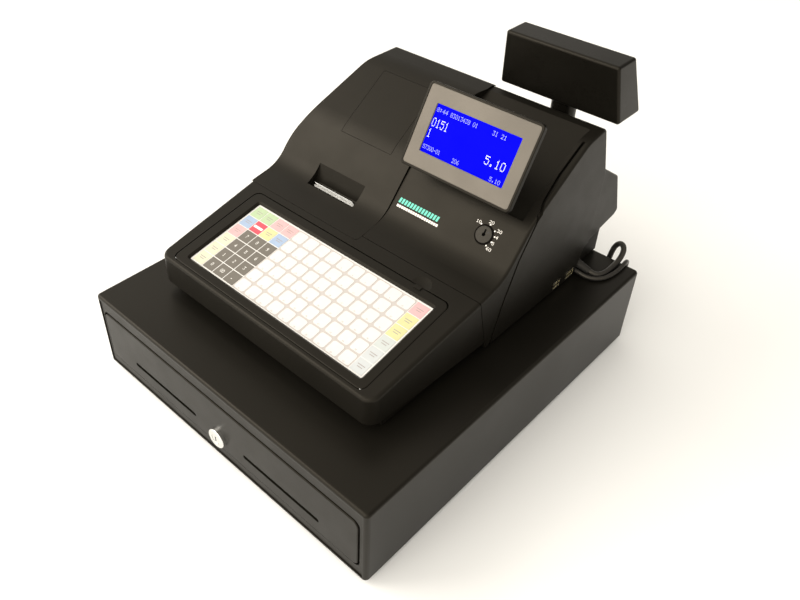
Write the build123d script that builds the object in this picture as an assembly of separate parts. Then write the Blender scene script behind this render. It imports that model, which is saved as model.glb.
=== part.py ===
from build123d import *
import math
import os

# A cash register standing on its cash drawer, in millimetres.
# Everything is drawn with x across from the middle of the drawer, y going back from the drawer's front
# face and z up from the underside of the drawer's cabinet. export() then moves it to the part's origin,
# which is the middle of the footprint at table height: +X right, -Y front, +Z up.

# ---- driving dimensions: cash drawer ----
DRAWER_WIDTH = 410.0
DRAWER_DEPTH = 454.0
DRAWER_HEIGHT = 98.4
FOOT_HEIGHT = 7.0
SHEET = 2.0                    # cabinet wall
CABINET_CORNER = 5.0
CABINET_EDGE = 3.5
FRAME_DEPTH = 9.0              # front frame, front to back
OPENING_HALF = 196.0           # half width of the drawer opening
OPENING_LOW = 12.0
OPENING_HIGH = 80.0
FRONT_GAP = 1.8                # shadow gap round the drawer front
FRONT_PAN = 14.0               # depth of the drawer front
FRONT_SKIN = 3.0
TRAY_HALF = 190.0
TRAY_LOW = 15.0
TRAY_HIGH = 76.0
TRAY_BACK = 402.0
CATCH_Y = 414.0                # pin that the latch lever hooks
TRAY_SHEET = 1.5
TILL_LOW = 38.0
TILL_HIGH = 72.0
TILL_HALF = 186.0
TILL_FRONT = 32.0
TILL_BACK = 396.0
TILL_WALL = 2.4
NOTE_BAYS = 4
COIN_CUPS = 4
COIN_BACK = 170.0              # wall between coins and notes
CLIP_ROD_Y = 386.0
CLIP_ROD_Z = 64.0
CLIP_ROD_R = 2.0
CLIP_REACH = 78.0
SLOT_LENGTH = 107.0            # media slots in the drawer front
SLOT_HEIGHT = 5.0
SLOT_X = 91.5
LOCK_Z = 30.0
LOCK_FACE_R = 11.5
LOCK_PROUD = 5.0
LATCH_X = 12.0
LATCH_Y = 440.0
LATCH_RELEASED = 15.0          # degrees between the hooked and the released lever

# ---- driving dimensions: register ----
LEFT = -166.0                  # left and right faces of the register
RIGHT = 156.0
WALL = 3.0
SEAM_X = 1.0                   # right edge of the printer cover
WING_FRONT = (SEAM_X, 305.0)   # from here back the cover widens, as (x, y)
WING_BEND = (19.9, 382.0)
WING_BACK = 397.0
CHEEK_X = 144.0                # inner side of the right cheek
PAN_LEFT = -158.0
PAN_RIGHT = 148.0
PAN_FLOOR = DRAWER_HEIGHT + 3.0
KEY_SLOPE = 11.2
CASE_FRONT = 62.0
CASE_FRONT_Z = 144.5
CASE_BACK = 208.0
CASE_BACK_Z = CASE_FRONT_Z + (CASE_BACK - CASE_FRONT) * math.tan(math.radians(KEY_SLOPE))
CASE_LOW = 112.0
POCKET_X = -5.25               # middle of the keyboard frame
POCKET_Y = 129.25
POCKET_WIDTH = 279.5
POCKET_LENGTH = 125.9
KEYS_X = -3.4
KEYS_WIDTH = 252.3
KEYS_LENGTH = 102.6
KEYS_SHIFT = -0.55             # the keys' middle, up the slope from the frame's middle
FRAME_THICK = 3.0
SHEAR = 28.0                   # the cover lifts forward by this angle, and its front seam leans with it
COVER_STEP = 3.5               # the cover stands this far above the right half
COVER_LOW = 168.0
COVER_FRONT = 200.0            # front seam, on the surface, which is this high there
COVER_FRONT_Z = 171.7
COVER_BACK = 398.0
COVER_SKIN = 2.5
HINGE_Y = 405.8
HINGE_Z = 259.7
DISPLAY_TILT = 59.7
DISPLAY_X = 74.3
DISPLAY_Y = 278.9
DISPLAY_Z = 283.3
BEZEL_WIDTH = 129.6
BEZEL_HEIGHT = 83.0
SCREEN_WIDTH = 101.3
SCREEN_HEIGHT = 50.0
DISPLAY_DEPTH = 22.0
DISPLAY_RIM = 7.0              # the display's broad front part; behind it the shell is narrower
TILT_PIN_Y = 292.0
TILT_PIN_Z = 246.0
POST_X = 91.9
POST_Y = 420.0
POST_R = 13.5
HOUSING_LOW = 287.5
HOUSING_HEIGHT = 63.3
MODE_X = 114.2
MODE_Y = 263.6
MODE_Z = 204.0
MODE_SLOPE = 49.4
SLOT_MID_X = -71.0
PAPER_WIDTH = 58.0
PAPER_Y = 243.75               # the paper's path crosses PAPER_Z here
PAPER_Z = 170.0
PLATEN_R = 7.0
PLATEN_Y = 243.7
PLATEN_Z = 154.6
PINION_TURN = -40.0            # direction from the platen's axis to the motor's, in degrees
GEAR_MODULE = 0.8
PLATEN_TEETH = 24
PINION_TEETH = 12
ROLL_Y = 330.0
ROLL_Z = 172.0
ROLL_R = 36.0

MIDDLE_Y = 233.5               # the part's origin lies this far behind the drawer's front face

# Side outlines of the right half, as (y, z) corners and the radius at each.
RIGHT_HALF = [
    ((226.0, 103.0), 0), ((208.6, 173.2), 0), ((243.0, 180.0), 45), ((285.0, 229.0), 90),
    ((365.0, 281.0), 40), ((396.5, 286.0), 6), ((401.5, 272.0), 0), ((416.0, 229.5), 0),
    ((412.0, 136.0), 0), ((404.0, 134.0), 0), ((390.0, 103.0), 0),
]
TROUGH = [((283.0, 221.5), 0), ((385.0, 284.3), 0), ((385.0, 300.0), 0), ((270.0, 300.0), 0)]
HOOD = [
    ((412.5, 136.4), 0), ((465.0, 146.0), 4), ((472.0, 151.0), 4), ((452.0, 204.6), 6),
    ((416.5, 229.2), 0),
]
COVER_SIDE = [
    ((196.0, COVER_LOW), 0), ((196.0, 171.2), 0), ((240.0, 178.5), 45), ((285.0, 232.5), 90),
    ((362.0, 284.5), 45), ((396.5, 287.6), 7), ((402.2, 272.0), 0), ((406.2, 260.2), 0),
    ((398.0, 260.2), 0), ((398.0, COVER_LOW), 0),
]
# Front outline of the printer cover, as (x, z).
COVER_FRONT_VIEW = [
    ((LEFT, 90.0), 0), ((LEFT, 207.0), 60), ((-131.0, 281.0), 22), ((-112.0, 291.0), 0),
    ((30.0, 291.0), 0), ((30.0, 90.0), 0),
]


CASE_KNUCKLES = [(-128, -116), (-26, -14)]
COVER_KNUCKLES = [(-115.6, -98), (-44, -26.4)]
HINGE_PINS = [(-129, -97), (-45, -13)]
SERIAL_PORTS = [(346, 362), (371, 389)]
GLAND_X = 165.0
GLAND_Z = 24.0

# ---- cords, as points along their routes ----
MAINS_R = 3.2
MAINS_RELIEF = ((PAN_RIGHT, 404.0, 110.0), (167.5, 406.0, 104.5))
MAINS_ROUTE = [
    (167.5, 406.0, 104.5), (174.4, 406.7, 102.55), (179.2, 414.6, 101.7), (180.8, 426.0, 101.7), (181.0, 438.0, 102.2),
    (181.2, 448.0, 104.4), (180.4, 457.0, 110.0), (176.6, 463.0, 113.4), (170.6, 466.6, 113.0),
    (165.4, 466.6, 107.0), (163.6, 464.6, 98.0), (162.6, 462.4, 84.0), (160.0, 462.0, 63.0), (151.5, 464.5, 39.0),
    (139.0, 470.5, 17.0), (121.5, 479.5, 1.5), (102.0, 480.5, -3.6), (82.0, 474.0, -3.7), (62.5, 467.2, -3.7),
]
CABLE_R = 2.5
CABLE_ROUTE = [
    (PAN_RIGHT, 396.5, 104.4), (157.0, 396.5, 104.4), (167.5, 397.6, 101.6), (177.6, 402.2, 101.0),
    (184.6, 411.4, 101.0),
    (187.4, 423.0, 101.0), (188.6, 437.0, 101.2), (187.8, 450.0, 102.4), (186.0, 461.0, 98.5),
    (184.2, 464.0, 85.0), (181.6, 463.2, 67.0), (177.0, 464.0, 49.0), (170.4, 468.0, 34.0),
    (GLAND_X, 468.4, GLAND_Z), (GLAND_X, DRAWER_DEPTH + 3, GLAND_Z),
]
COIL_X = 62.0
COIL_Y = 512.0
COIL_R = 38.0


def export(shape, name):
    """Moves a piece to the part's origin and writes it."""
    export_step(Pos(0, -MIDDLE_Y, FOOT_HEIGHT) * shape, f"parts/{name}.step")


def block(low, high):
    """A box given by its lowest and highest corners."""
    size = [b - a for a, b in zip(low, high)]
    middle = [(a + b) / 2 for a, b in zip(low, high)]
    return Pos(*middle) * Box(*size)


def rod(start, end, radius):
    """A round bar between two points."""
    axis = Vector(*end) - Vector(*start)
    plane = Plane(origin=start, z_dir=axis)
    return plane * Cylinder(radius, axis.length, align=(Align.CENTER, Align.CENTER, Align.MIN))


def tube(start, end, outer, inner):
    """A round bar with a bore right through it."""
    return rod(start, end, outer) - rod(start, end, inner)


def outline(corners):
    """A closed flat outline from (point, corner radius) pairs."""
    points = [point for point, _ in corners]
    radii = [radius for _, radius in corners]
    return make_face(FilletPolyline(*points, radius=radii, close=True))


def side_slab(face, low, high):
    """A (y, z) outline made solid between two x."""
    return Pos(low, 0, 0) * extrude(Plane.YZ * face, high - low)


def front_slab(face, low, high):
    """An (x, z) outline made solid between two y."""
    return Pos(0, low, 0) * extrude(Plane.XZ * face, low - high)


def plan_slab(face, low, high):
    """An (x, y) outline made solid between two z."""
    return Pos(0, 0, low) * extrude(face, high - low)


def slope_plane(x, y, z, degrees):
    """A plane across the register whose second axis climbs backwards."""
    angle = math.radians(degrees)
    return Plane(origin=(x, y, z), x_dir=(1, 0, 0), z_dir=(0, -math.sin(angle), math.cos(angle)))


def case_height(y):
    """Height of the keyboard case's top at y."""
    return CASE_FRONT_Z + (y - CASE_FRONT) * math.tan(math.radians(KEY_SLOPE))


# ---- cash drawer: cabinet ----

def cabinet_shell():
    body = block((-DRAWER_WIDTH / 2, 0, 0), (DRAWER_WIDTH / 2, DRAWER_DEPTH, DRAWER_HEIGHT))
    body = fillet(body.edges().filter_by(Axis.Z), CABINET_CORNER)
    body = fillet(body.faces().sort_by(Axis.Z)[-1].edges(), CABINET_EDGE)
    inner = DRAWER_WIDTH / 2 - SHEET
    body -= block((-inner, FRAME_DEPTH, -1), (inner, DRAWER_DEPTH - SHEET, DRAWER_HEIGHT - SHEET))
    body -= block((-200, -1, SHEET), (200, FRAME_DEPTH + 1, DRAWER_HEIGHT - 5))
    return body - rod((GLAND_X, DRAWER_DEPTH - 5, GLAND_Z), (GLAND_X, DRAWER_DEPTH + 5, GLAND_Z), 6)


def cabinet_bottom():
    inner = DRAWER_WIDTH / 2 - SHEET
    plate = block((-inner, FRAME_DEPTH, 0), (inner, DRAWER_DEPTH - SHEET, SHEET))
    bracket = block((-20, 424, SHEET), (80, DRAWER_DEPTH - SHEET, 4))
    post = rod((LATCH_X, LATCH_Y, 4), (LATCH_X, LATCH_Y, 34), 3)
    shoulder = rod((LATCH_X, LATCH_Y, 4), (LATCH_X, LATCH_Y, 25.6), 5)
    return plate + bracket + post + shoulder


def front_frame():
    body = block((-200, 1, SHEET), (200, FRAME_DEPTH, DRAWER_HEIGHT - 5))
    hole = block((-OPENING_HALF, 0, OPENING_LOW), (OPENING_HALF, FRAME_DEPTH + 1, OPENING_HIGH))
    return body - fillet(hole.edges().filter_by(Axis.Y), 8)


def drawer_feet():
    foot = Cone(9, 11, FOOT_HEIGHT, align=(Align.CENTER, Align.CENTER, Align.MAX))
    return Compound([Pos(x, y, 0) * foot for x in (-176, 176) for y in (26, 428)])


def cabinet_rails():
    rails = []
    for side in (-1, 1):
        web = block((201, FRAME_DEPTH + 8, 38), (203, 446, 54))
        for low, high in ((38, 41.6), (50.4, 54)):
            web += block((192.5, FRAME_DEPTH + 8, low), (201, 446, high))
        rails.append(web if side > 0 else mirror(web, Plane.YZ))
    return Compound(rails)


def release_solenoid():
    body = block((34, 426, 4), (66, 450, 30))
    plunger = rod((27, 438, 20), (34, 438, 20), 4)
    return body + plunger


def push_spring():
    bow = ThreePointArc((403.4, -70), (451.3, 0), (403.4, 70))
    strip = Plane.XY.offset(50) * (Rot(0, 0, 90) * trace(bow, 1.2))
    spring = extrude(strip, 14)
    return mirror(spring, Plane.YZ)


def cable_gland():
    """The rubber gland in the cabinet's back; the drawer cable ends against it."""
    body = rod((GLAND_X, DRAWER_DEPTH - 6, GLAND_Z), (GLAND_X, DRAWER_DEPTH, GLAND_Z), 6)
    return body + rod((GLAND_X, DRAWER_DEPTH, GLAND_Z), (GLAND_X, DRAWER_DEPTH + 3, GLAND_Z), 9)


# ---- cash drawer: what slides ----

def drawer_front():
    half = OPENING_HALF - FRONT_GAP
    low = OPENING_LOW + FRONT_GAP
    high = OPENING_HIGH - FRONT_GAP
    body = block((-half, 0, low), (half, FRONT_PAN, high))
    body = fillet(body.edges().filter_by(Axis.Y), 7)
    body = fillet(body.faces().sort_by(Axis.Y)[0].edges(), 1.2)
    hollow = block((-half + 2, FRONT_SKIN, low + 2), (half - 2, FRONT_PAN + 1, high - 2))
    body -= fillet(hollow.edges().filter_by(Axis.Y), 5)
    for side in (-1, 1):
        middle = side * SLOT_X
        slot = block(
            (middle - SLOT_LENGTH / 2, -1, 32 - SLOT_HEIGHT / 2),
            (middle + SLOT_LENGTH / 2, FRONT_SKIN + 1, 32 + SLOT_HEIGHT / 2),
        )
        body -= fillet(slot.edges().filter_by(Axis.Y), 2.3)
    return body - rod((0, -1, LOCK_Z), (0, FRONT_SKIN + 1, LOCK_Z), 9)


def drawer_tray():
    body = block((-TRAY_HALF, FRONT_PAN, TRAY_LOW), (TRAY_HALF, TRAY_BACK, TRAY_HIGH))
    body -= block(
        (-TRAY_HALF + TRAY_SHEET, FRONT_PAN - 1, TRAY_LOW + TRAY_SHEET),
        (TRAY_HALF - TRAY_SHEET, TRAY_BACK - TRAY_SHEET, TRAY_HIGH + 1),
    )
    for side in (-1, 1):
        ledge = block((178, FRONT_PAN + 8, TILL_LOW - 3), (TRAY_HALF - 1, TRAY_BACK - 4, TILL_LOW))
        runner = block((TRAY_HALF, 30, 42), (195, TRAY_BACK, 50))
        piece = ledge + runner
        body += piece if side > 0 else mirror(piece, Plane.YZ)
    catch = block((-10, TRAY_BACK, 19), (10, CATCH_Y + 4, 22))
    pin = rod((0, CATCH_Y, 22), (0, CATCH_Y, 36), 2.5)
    return body + catch + pin


def bay_edges(count):
    """Left and right inside faces of each of a row of bays in the till."""
    width = (2 * TILL_HALF - (count + 1) * TILL_WALL) / count
    pitch = width + TILL_WALL
    return [(-TILL_HALF + TILL_WALL + i * pitch, -TILL_HALF + TILL_WALL + i * pitch + width) for i in range(count)]


def till_insert():
    body = block((-TILL_HALF, TILL_FRONT, TILL_LOW), (TILL_HALF, TILL_BACK, TILL_HIGH))
    floor = TILL_LOW + TILL_WALL
    for left, right in bay_edges(NOTE_BAYS):
        body -= block((left, COIN_BACK + TILL_WALL, floor), (right, TILL_BACK - TILL_WALL, TILL_HIGH + 1))
    for left, right in bay_edges(COIN_CUPS):
        cup = block((left, TILL_FRONT + TILL_WALL, floor), (right, COIN_BACK, TILL_HIGH + 1))
        body -= fillet(cup.edges().filter_by(Axis.X).sort_by(Axis.Z)[:2], 14)
    return body - rod((-TILL_HALF, CLIP_ROD_Y, CLIP_ROD_Z), (TILL_HALF, CLIP_ROD_Y, CLIP_ROD_Z), CLIP_ROD_R)


def clip_rod():
    return rod((-TILL_HALF, CLIP_ROD_Y, CLIP_ROD_Z), (TILL_HALF, CLIP_ROD_Y, CLIP_ROD_Z), CLIP_ROD_R)


def note_clip(middle):
    """One sprung note clip, lying in its bay; it turns on the clip rod."""
    drop = CLIP_ROD_Z - (TILL_LOW + TILL_WALL) - 4.4
    run = math.sqrt(CLIP_REACH ** 2 - drop ** 2)
    knuckle_low = (middle - 13, CLIP_ROD_Y, CLIP_ROD_Z)
    knuckle_high = (middle + 13, CLIP_ROD_Y, CLIP_ROD_Z)
    tip = Vector(middle, CLIP_ROD_Y - run, CLIP_ROD_Z - drop)
    arm_plane = Plane(
        origin=(middle, CLIP_ROD_Y, CLIP_ROD_Z), x_dir=(1, 0, 0), z_dir=(0, -drop / CLIP_REACH, run / CLIP_REACH)
    )
    arm = arm_plane * block((-6, -CLIP_REACH, 1.2), (6, 0, 3.2))
    paddle = rod((middle - 19, tip.Y, tip.Z), (middle + 19, tip.Y, tip.Z), 3.6)
    body = rod(knuckle_low, knuckle_high, 4.2) + arm + paddle
    return body - rod(knuckle_low, knuckle_high, CLIP_ROD_R + 0.04)


def lock_housing():
    face = rod((0, -LOCK_PROUD, LOCK_Z), (0, 0, LOCK_Z), LOCK_FACE_R)
    face = fillet(face.edges().sort_by(Axis.Y)[0], 1.5)
    barrel = rod((0, 0, LOCK_Z), (0, 22, LOCK_Z), 9)
    return face + barrel - rod((0, -LOCK_PROUD - 1, LOCK_Z), (0, 23, LOCK_Z), 6.05)


def lock_plug():
    body = rod((0, -LOCK_PROUD + 0.4, LOCK_Z), (0, 25, LOCK_Z), 6)
    body -= block((-0.8, -LOCK_PROUD, LOCK_Z - 3.6), (0.8, 6, LOCK_Z + 3.6))
    return body + block((-5, 22.5, LOCK_Z - 5), (5, 25.5, LOCK_Z + 13))


def latch_lever():
    """The lever as it stands when released, turned away from the catch pin."""
    bar = block((LATCH_X - 4, CATCH_Y - 6, 26), (LATCH_X + 2, LATCH_Y, 29))
    tooth = block((-3, CATCH_Y - 6, 26), (LATCH_X - 4, CATCH_Y - 3.1, 29))
    boss = rod((LATCH_X, LATCH_Y, 26), (LATCH_X, LATCH_Y, 29), 7)
    tail = block((LATCH_X, LATCH_Y - 3, 26), (LATCH_X + 16, LATCH_Y + 3, 29))
    lever = bar + tooth + boss + tail - rod((LATCH_X, LATCH_Y, 25), (LATCH_X, LATCH_Y, 30), 3.05)
    pivot = Axis((LATCH_X, LATCH_Y, 0), (0, 0, 1))
    return lever.rotate(pivot, LATCH_RELEASED)


# ---- register: base, keyboard ----

def base_pan():
    top = CASE_LOW - 0.4
    back = [((396, PAN_FLOOR), 0), ((455, PAN_FLOOR), 0), ((455, 143.2), 0), ((413, 135.4), 0),
            ((404.8, 133.2), 0), ((396, 113.5), 0)]
    outer = block((PAN_LEFT, 80, PAN_FLOOR), (PAN_RIGHT, 455, top))
    outer += side_slab(outline(back), PAN_LEFT, PAN_RIGHT)
    upright = [e for e in outer.edges().filter_by(Axis.Z) if e.center().Y > 454]
    outer = fillet(upright, 4)
    return outer - block((PAN_LEFT + WALL, 83, PAN_FLOOR + 2.6), (PAN_RIGHT - WALL, 455 - WALL, 150))


def register_feet():
    return Compound([
        rod((x, y, DRAWER_HEIGHT), (x, y, PAN_FLOOR), 9)
        for x in (PAN_LEFT + 20, PAN_RIGHT - 20) for y in (100, 436)
    ])


def case_plan(inset):
    """Plan outline of the keyboard case, wider at the back, set in by the given wall."""
    front, back = CASE_FRONT + inset, 228.0
    corners = [
        ((-161.0 + inset, front), 13 - inset), ((149.9 - inset, front), 13 - inset),
        ((RIGHT - inset, CASE_BACK), 0), ((RIGHT - inset, back), 0),
        ((LEFT + inset, back), 0), ((LEFT + inset, CASE_BACK), 0),
    ]
    return outline(corners)


def cover_space(gap):
    """The room that the printer cover fills, grown by a gap on every seam."""
    lean = math.tan(math.radians(SHEAR))
    low = COVER_LOW - gap
    front = COVER_FRONT - gap + (COVER_FRONT_Z - low) * lean
    right = SEAM_X + gap
    plan = outline([((-200, front), 0), ((right, front), 5), ((right, 540), 0), ((-200, 540), 0)])
    room = extrude(Pos(0, 0, low) * plan, 160, dir=(0, -lean, 1))
    return room - block((-210, COVER_BACK + gap, low - 1), (20, 560, HINGE_Z + 0.4 - gap))


def keyboard_case():
    def body(inset):
        side = Polyline(
            (CASE_FRONT - 5 + inset, CASE_LOW + (-1 if inset else 0)),
            (CASE_FRONT - 5 + inset, case_height(CASE_FRONT - 5) - inset),
            (CASE_BACK - 0.3, case_height(CASE_BACK) - inset),
            (223.0, CASE_LOW + (-1 if inset else 0)),
            close=True,
        )
        return side_slab(make_face(side), -170, 160) & plan_slab(case_plan(inset), 100, 190)

    outer = body(0)
    top = outer.faces().sort_by(Axis.Z)[-1]
    rim = [e for e in top.edges() if e.center().Y < CASE_BACK - 2]
    outer = fillet(rim, 4)
    room = body(WALL) + block((LEFT + WALL + 0.4, 200, CASE_LOW - 1), (RIGHT - WALL - 0.4, 230, case_height(150) - WALL))
    shell = outer - (room & side_slab(make_face(Polyline(
        (60, 100), (60, case_height(60) - WALL), (230, case_height(230) - WALL), (230, 100), close=True)), -170, 160))
    deck = slope_plane(POCKET_X, POCKET_Y, case_height(POCKET_Y), KEY_SLOPE)
    well_wall = deck * block(
        (-POCKET_WIDTH / 2 - 2.4, -POCKET_LENGTH / 2 - 2.4, -10.4), (POCKET_WIDTH / 2 + 2.4, POCKET_LENGTH / 2 + 2.4, -1)
    )
    gap = 0.4
    well = block((-POCKET_WIDTH / 2 - gap, -POCKET_LENGTH / 2 - gap, -8.4),
                 (POCKET_WIDTH / 2 + gap, POCKET_LENGTH / 2 + gap, 5))
    well = deck * fillet(well.edges().filter_by(Axis.Z), 8)
    shell = (shell + well_wall) - well
    pin_y = -POCKET_LENGTH / 2 + FRAME_THICK / 2
    for side in (-1, 1):
        end = side * (POCKET_WIDTH / 2 + 2.4)
        shell -= deck * rod((end, pin_y, -FRAME_THICK / 2), (side * 100, pin_y, -FRAME_THICK / 2), 0.8)
    finger_dish = deck * (Pos(95 - POCKET_X, POCKET_LENGTH / 2 + 1.5, 42.6) * Sphere(44))
    return shell - finger_dish - cover_space(0.4)


def keyboard_stack(low, high, margin):
    """A flat layer under the keyboard frame, between two depths below the case's top."""
    deck = slope_plane(POCKET_X, POCKET_Y, case_height(POCKET_Y), KEY_SLOPE)
    shift = KEYS_X - POCKET_X
    half_x, half_y = KEYS_WIDTH / 2 + margin, KEYS_LENGTH / 2 + margin
    layer = block((shift - half_x, KEYS_SHIFT - half_y, -high), (shift + half_x, KEYS_SHIFT + half_y, -low))
    return deck * layer


def keyboard_frame():
    deck = slope_plane(POCKET_X, POCKET_Y, case_height(POCKET_Y), KEY_SLOPE)
    body = block((-POCKET_WIDTH / 2, -POCKET_LENGTH / 2, -FRAME_THICK), (POCKET_WIDTH / 2, POCKET_LENGTH / 2, 0))
    body = fillet(body.edges().filter_by(Axis.Z), 8.6)
    front = body.edges().filter_by(Axis.X).sort_by(Axis.Y)[:2]
    body = fillet(front, FRAME_THICK / 2 - 0.05)
    shift = KEYS_X - POCKET_X
    half_x, half_y = KEYS_WIDTH / 2, KEYS_LENGTH / 2
    hole = block((shift - half_x, KEYS_SHIFT - half_y, -FRAME_THICK - 1), (shift + half_x, KEYS_SHIFT + half_y, 1))
    body -= fillet(hole.edges().filter_by(Axis.Z), 1.5)
    inner = body.faces().sort_by(Axis.Z)[-1].inner_wires()[0].edges()
    body = chamfer(inner, 2.2)
    tab = block((91 - POCKET_X, POCKET_LENGTH / 2 - 5, -1), (99 - POCKET_X, POCKET_LENGTH / 2 - 0.5, 1.2))
    body += tab
    pin_y = -POCKET_LENGTH / 2 + FRAME_THICK / 2
    for side in (-1, 1):
        end = side * (POCKET_WIDTH / 2 + 1)
        body -= rod((end, pin_y, -FRAME_THICK / 2), (side * (POCKET_WIDTH / 2 - 9), pin_y, -FRAME_THICK / 2), 0.85)
    return deck * body


def keyboard_pins():
    deck = slope_plane(POCKET_X, POCKET_Y, case_height(POCKET_Y), KEY_SLOPE)
    pin_y = -POCKET_LENGTH / 2 + FRAME_THICK / 2
    return Compound([
        deck * rod((side * (POCKET_WIDTH / 2 + 2.4), pin_y, -FRAME_THICK / 2),
                   (side * (POCKET_WIDTH / 2 - 8), pin_y, -FRAME_THICK / 2), 0.8)
        for side in (-1, 1)
    ])


# ---- register: main case and covers ----

def right_outline():
    return outline(RIGHT_HALF)


def trough_outline():
    return outline(RIGHT_HALF) - outline(TROUGH)


def knuckles(spans, radius, grow=0.0):
    """Round hinge barrels on the cover's hinge axis, between pairs of x."""
    return [rod((low - grow, HINGE_Y, HINGE_Z), (high + grow, HINGE_Y, HINGE_Z), radius) for low, high in spans]


def left_trim():
    """What lies outside the register's sloping upper left side."""
    return block((LEFT - 10, 190, 150), (SEAM_X, 480, 320)) - front_slab(outline(COVER_FRONT_VIEW), 180, 490)


def post_room():
    return rod((POST_X, POST_Y, 196), (POST_X, POST_Y, 300), POST_R + 4.5)


def main_case():
    outer = side_slab(trough_outline(), LEFT, CHEEK_X) + side_slab(right_outline(), CHEEK_X, RIGHT)
    rim = [
        e for e in outer.edges()
        if abs(e.center().X - RIGHT) < 0.01 and e.center().Z > 176 and e.center().Y < 399
    ]
    outer = fillet(rim, 3) - left_trim()
    inner = offset(trough_outline(), -WALL, kind=Kind.INTERSECTION)
    shell = outer - side_slab(inner, SEAM_X + WALL, RIGHT - WALL)
    shell -= side_slab(inner, LEFT + WALL, SEAM_X) - left_wall_room()
    shell -= block((PAN_LEFT - 1, 215, 100), (PAN_RIGHT + 1, 410, CASE_LOW + 0.6))
    shell -= block((LEFT + WALL, 380, 100), (RIGHT - WALL, 412, 135.8))
    shell -= cover_space(0.4)
    shell -= block((LEFT + WALL, 214, 120), (SEAM_X, COVER_BACK, 200))
    shell -= cheek_groove()
    shell -= post_room()
    lock_plane = slope_plane(MODE_X, MODE_Y, MODE_Z, MODE_SLOPE)
    shell -= lock_plane * rod((0, 0, -8), (0, 0, 8), 10.5)
    for room in knuckles(COVER_KNUCKLES, 4.6, 0.4):
        shell -= room
    for barrel in knuckles(CASE_KNUCKLES, 4):
        shell += barrel
    for bore in knuckles(HINGE_PINS, 1.5):
        shell -= bore
    for front, back in SERIAL_PORTS:
        shell -= block((PAN_RIGHT + 0.5, front, 104.5), (RIGHT + 1, back, 115.5))
    return shell


def left_wall_room():
    """Keeps the sloping left wall as thick as the others, above the cover's seam."""
    front = offset(outline(COVER_FRONT_VIEW), -WALL, kind=Kind.INTERSECTION)
    return block((LEFT - 10, 190, 150), (SEAM_X + 1, 480, 320)) - front_slab(front, 180, 490)


def cheek_groove():
    """The groove that climbs the right side and runs on along the cheek's inner edge."""
    climb = FilletPolyline((232, 95), (247, 146), (266, 192), (292, 232), (304, 246), radius=[30, 30, 30])
    side_cut = side_slab(trace(climb, 3.0), RIGHT - 3.2, RIGHT + 1)
    run = FilletPolyline((160, 286), (151, 303), (148.5, 330), (149.5, 366), radius=[20, 20])
    top_cut = plan_slab(trace(run, 2.8), 200, 300)
    floor = side_slab(offset(right_outline(), -4.5, kind=Kind.INTERSECTION), CHEEK_X, RIGHT + 2)
    return side_cut + (top_cut - floor)


def port_connectors():
    ports = []
    for front, back in SERIAL_PORTS:
        shell = block((PAN_RIGHT + 1.2, front + 1, 105.5), (RIGHT + 0.6, back - 1, 114.5))
        shell -= block((PAN_RIGHT + 3, front + 2, 106.5), (RIGHT + 1, back - 2, 113.5))
        ports.append(shell + block((PAN_RIGHT + 2, front + 3.6, 108.2), (RIGHT - 1, back - 3.6, 111.8)))
    return Compound(ports)


def hood_screws():
    """Planes on the hood's sloping back, one for each screw."""
    face_angle = math.degrees(math.atan2(472.0 - 452.0, 204.6 - 151.0))
    out = Vector(0, math.cos(math.radians(face_angle)), math.sin(math.radians(face_angle)))
    return [
        Plane(origin=(x, y, z), x_dir=(1, 0, 0), z_dir=out)
        for x in (LEFT + 24, RIGHT - 24) for y, z in ((457.0, 191.2), (466.5, 165.74))
    ]


def rear_hood():
    outer = side_slab(outline(HOOD), LEFT + 1, RIGHT - 1)
    ends = [e for e in outer.edges() if abs(abs(e.center().X + 5) - 160) < 0.1 and e.center().Y > 418]
    outer = fillet(ends, 2) - left_trim()
    inner = side_slab(offset(outline(HOOD), -WALL, kind=Kind.INTERSECTION), LEFT + 1 + WALL, RIGHT - 1 - WALL)
    shell = outer - (inner - left_wall_room())
    shell -= block((LEFT + 16, 405, 142), (RIGHT - 8, 418, 222))
    for plane in hood_screws():
        shell -= plane * rod((0, 0, -9), (0, 0, 1), 1.6)
    return shell - post_room()


def case_screws():
    screws = []
    for plane in hood_screws():
        head = fillet(rod((0, 0, 0), (0, 0, 2), 3.5).edges().sort_by(Axis.Z)[-1], 0.8)
        head -= block((-2.4, -0.5, 1.2), (2.4, 0.5, 3)) + block((-0.5, -2.4, 1.2), (0.5, 2.4, 3))
        screws.append(plane * (head + rod((0, 0, -8), (0, 0, 0), 1.5)))
    return Compound(screws)


def post_collar():
    ring = tube((POST_X, POST_Y, 196), (POST_X, POST_Y, 256), POST_R + 4.4, POST_R + 0.06)
    return fillet(ring.edges().sort_by(Axis.Z)[-1], 0.8)


def mode_lock_bezel():
    plane = slope_plane(MODE_X, MODE_Y, MODE_Z, MODE_SLOPE)
    ring = tube((0, 0, -6), (0, 0, 0.4), 10.4, 8.8)
    return plane * ring


def mode_lock_plug():
    plane = slope_plane(MODE_X, MODE_Y, MODE_Z, MODE_SLOPE)
    plug = rod((0, 0, -26), (0, 0, 1.2), 8.7)
    plug -= rod((0, 0, -6), (0, 0, 3), 1.9) + block((-0.9, 0, -6), (0.9, 5.5, 3))
    return plane * plug


def cover_solid(inset):
    """The printer cover's outer shape, or the room inside its skin when inset."""
    side = outline(COVER_SIDE)
    front = outline(COVER_FRONT_VIEW)
    if inset:
        side = offset(side, -inset, kind=Kind.INTERSECTION)
        front = offset(front, -inset, kind=Kind.INTERSECTION)
    body = side_slab(side, LEFT - 1, SEAM_X - inset) & front_slab(front, 190, 420)
    if not inset:
        return body & cover_space(0)
    low = body & block((-200, 100, COVER_LOW), (60, 430, 320))
    return low & (Pos(-inset, inset * 1.4, 0) * cover_space(0))


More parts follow.
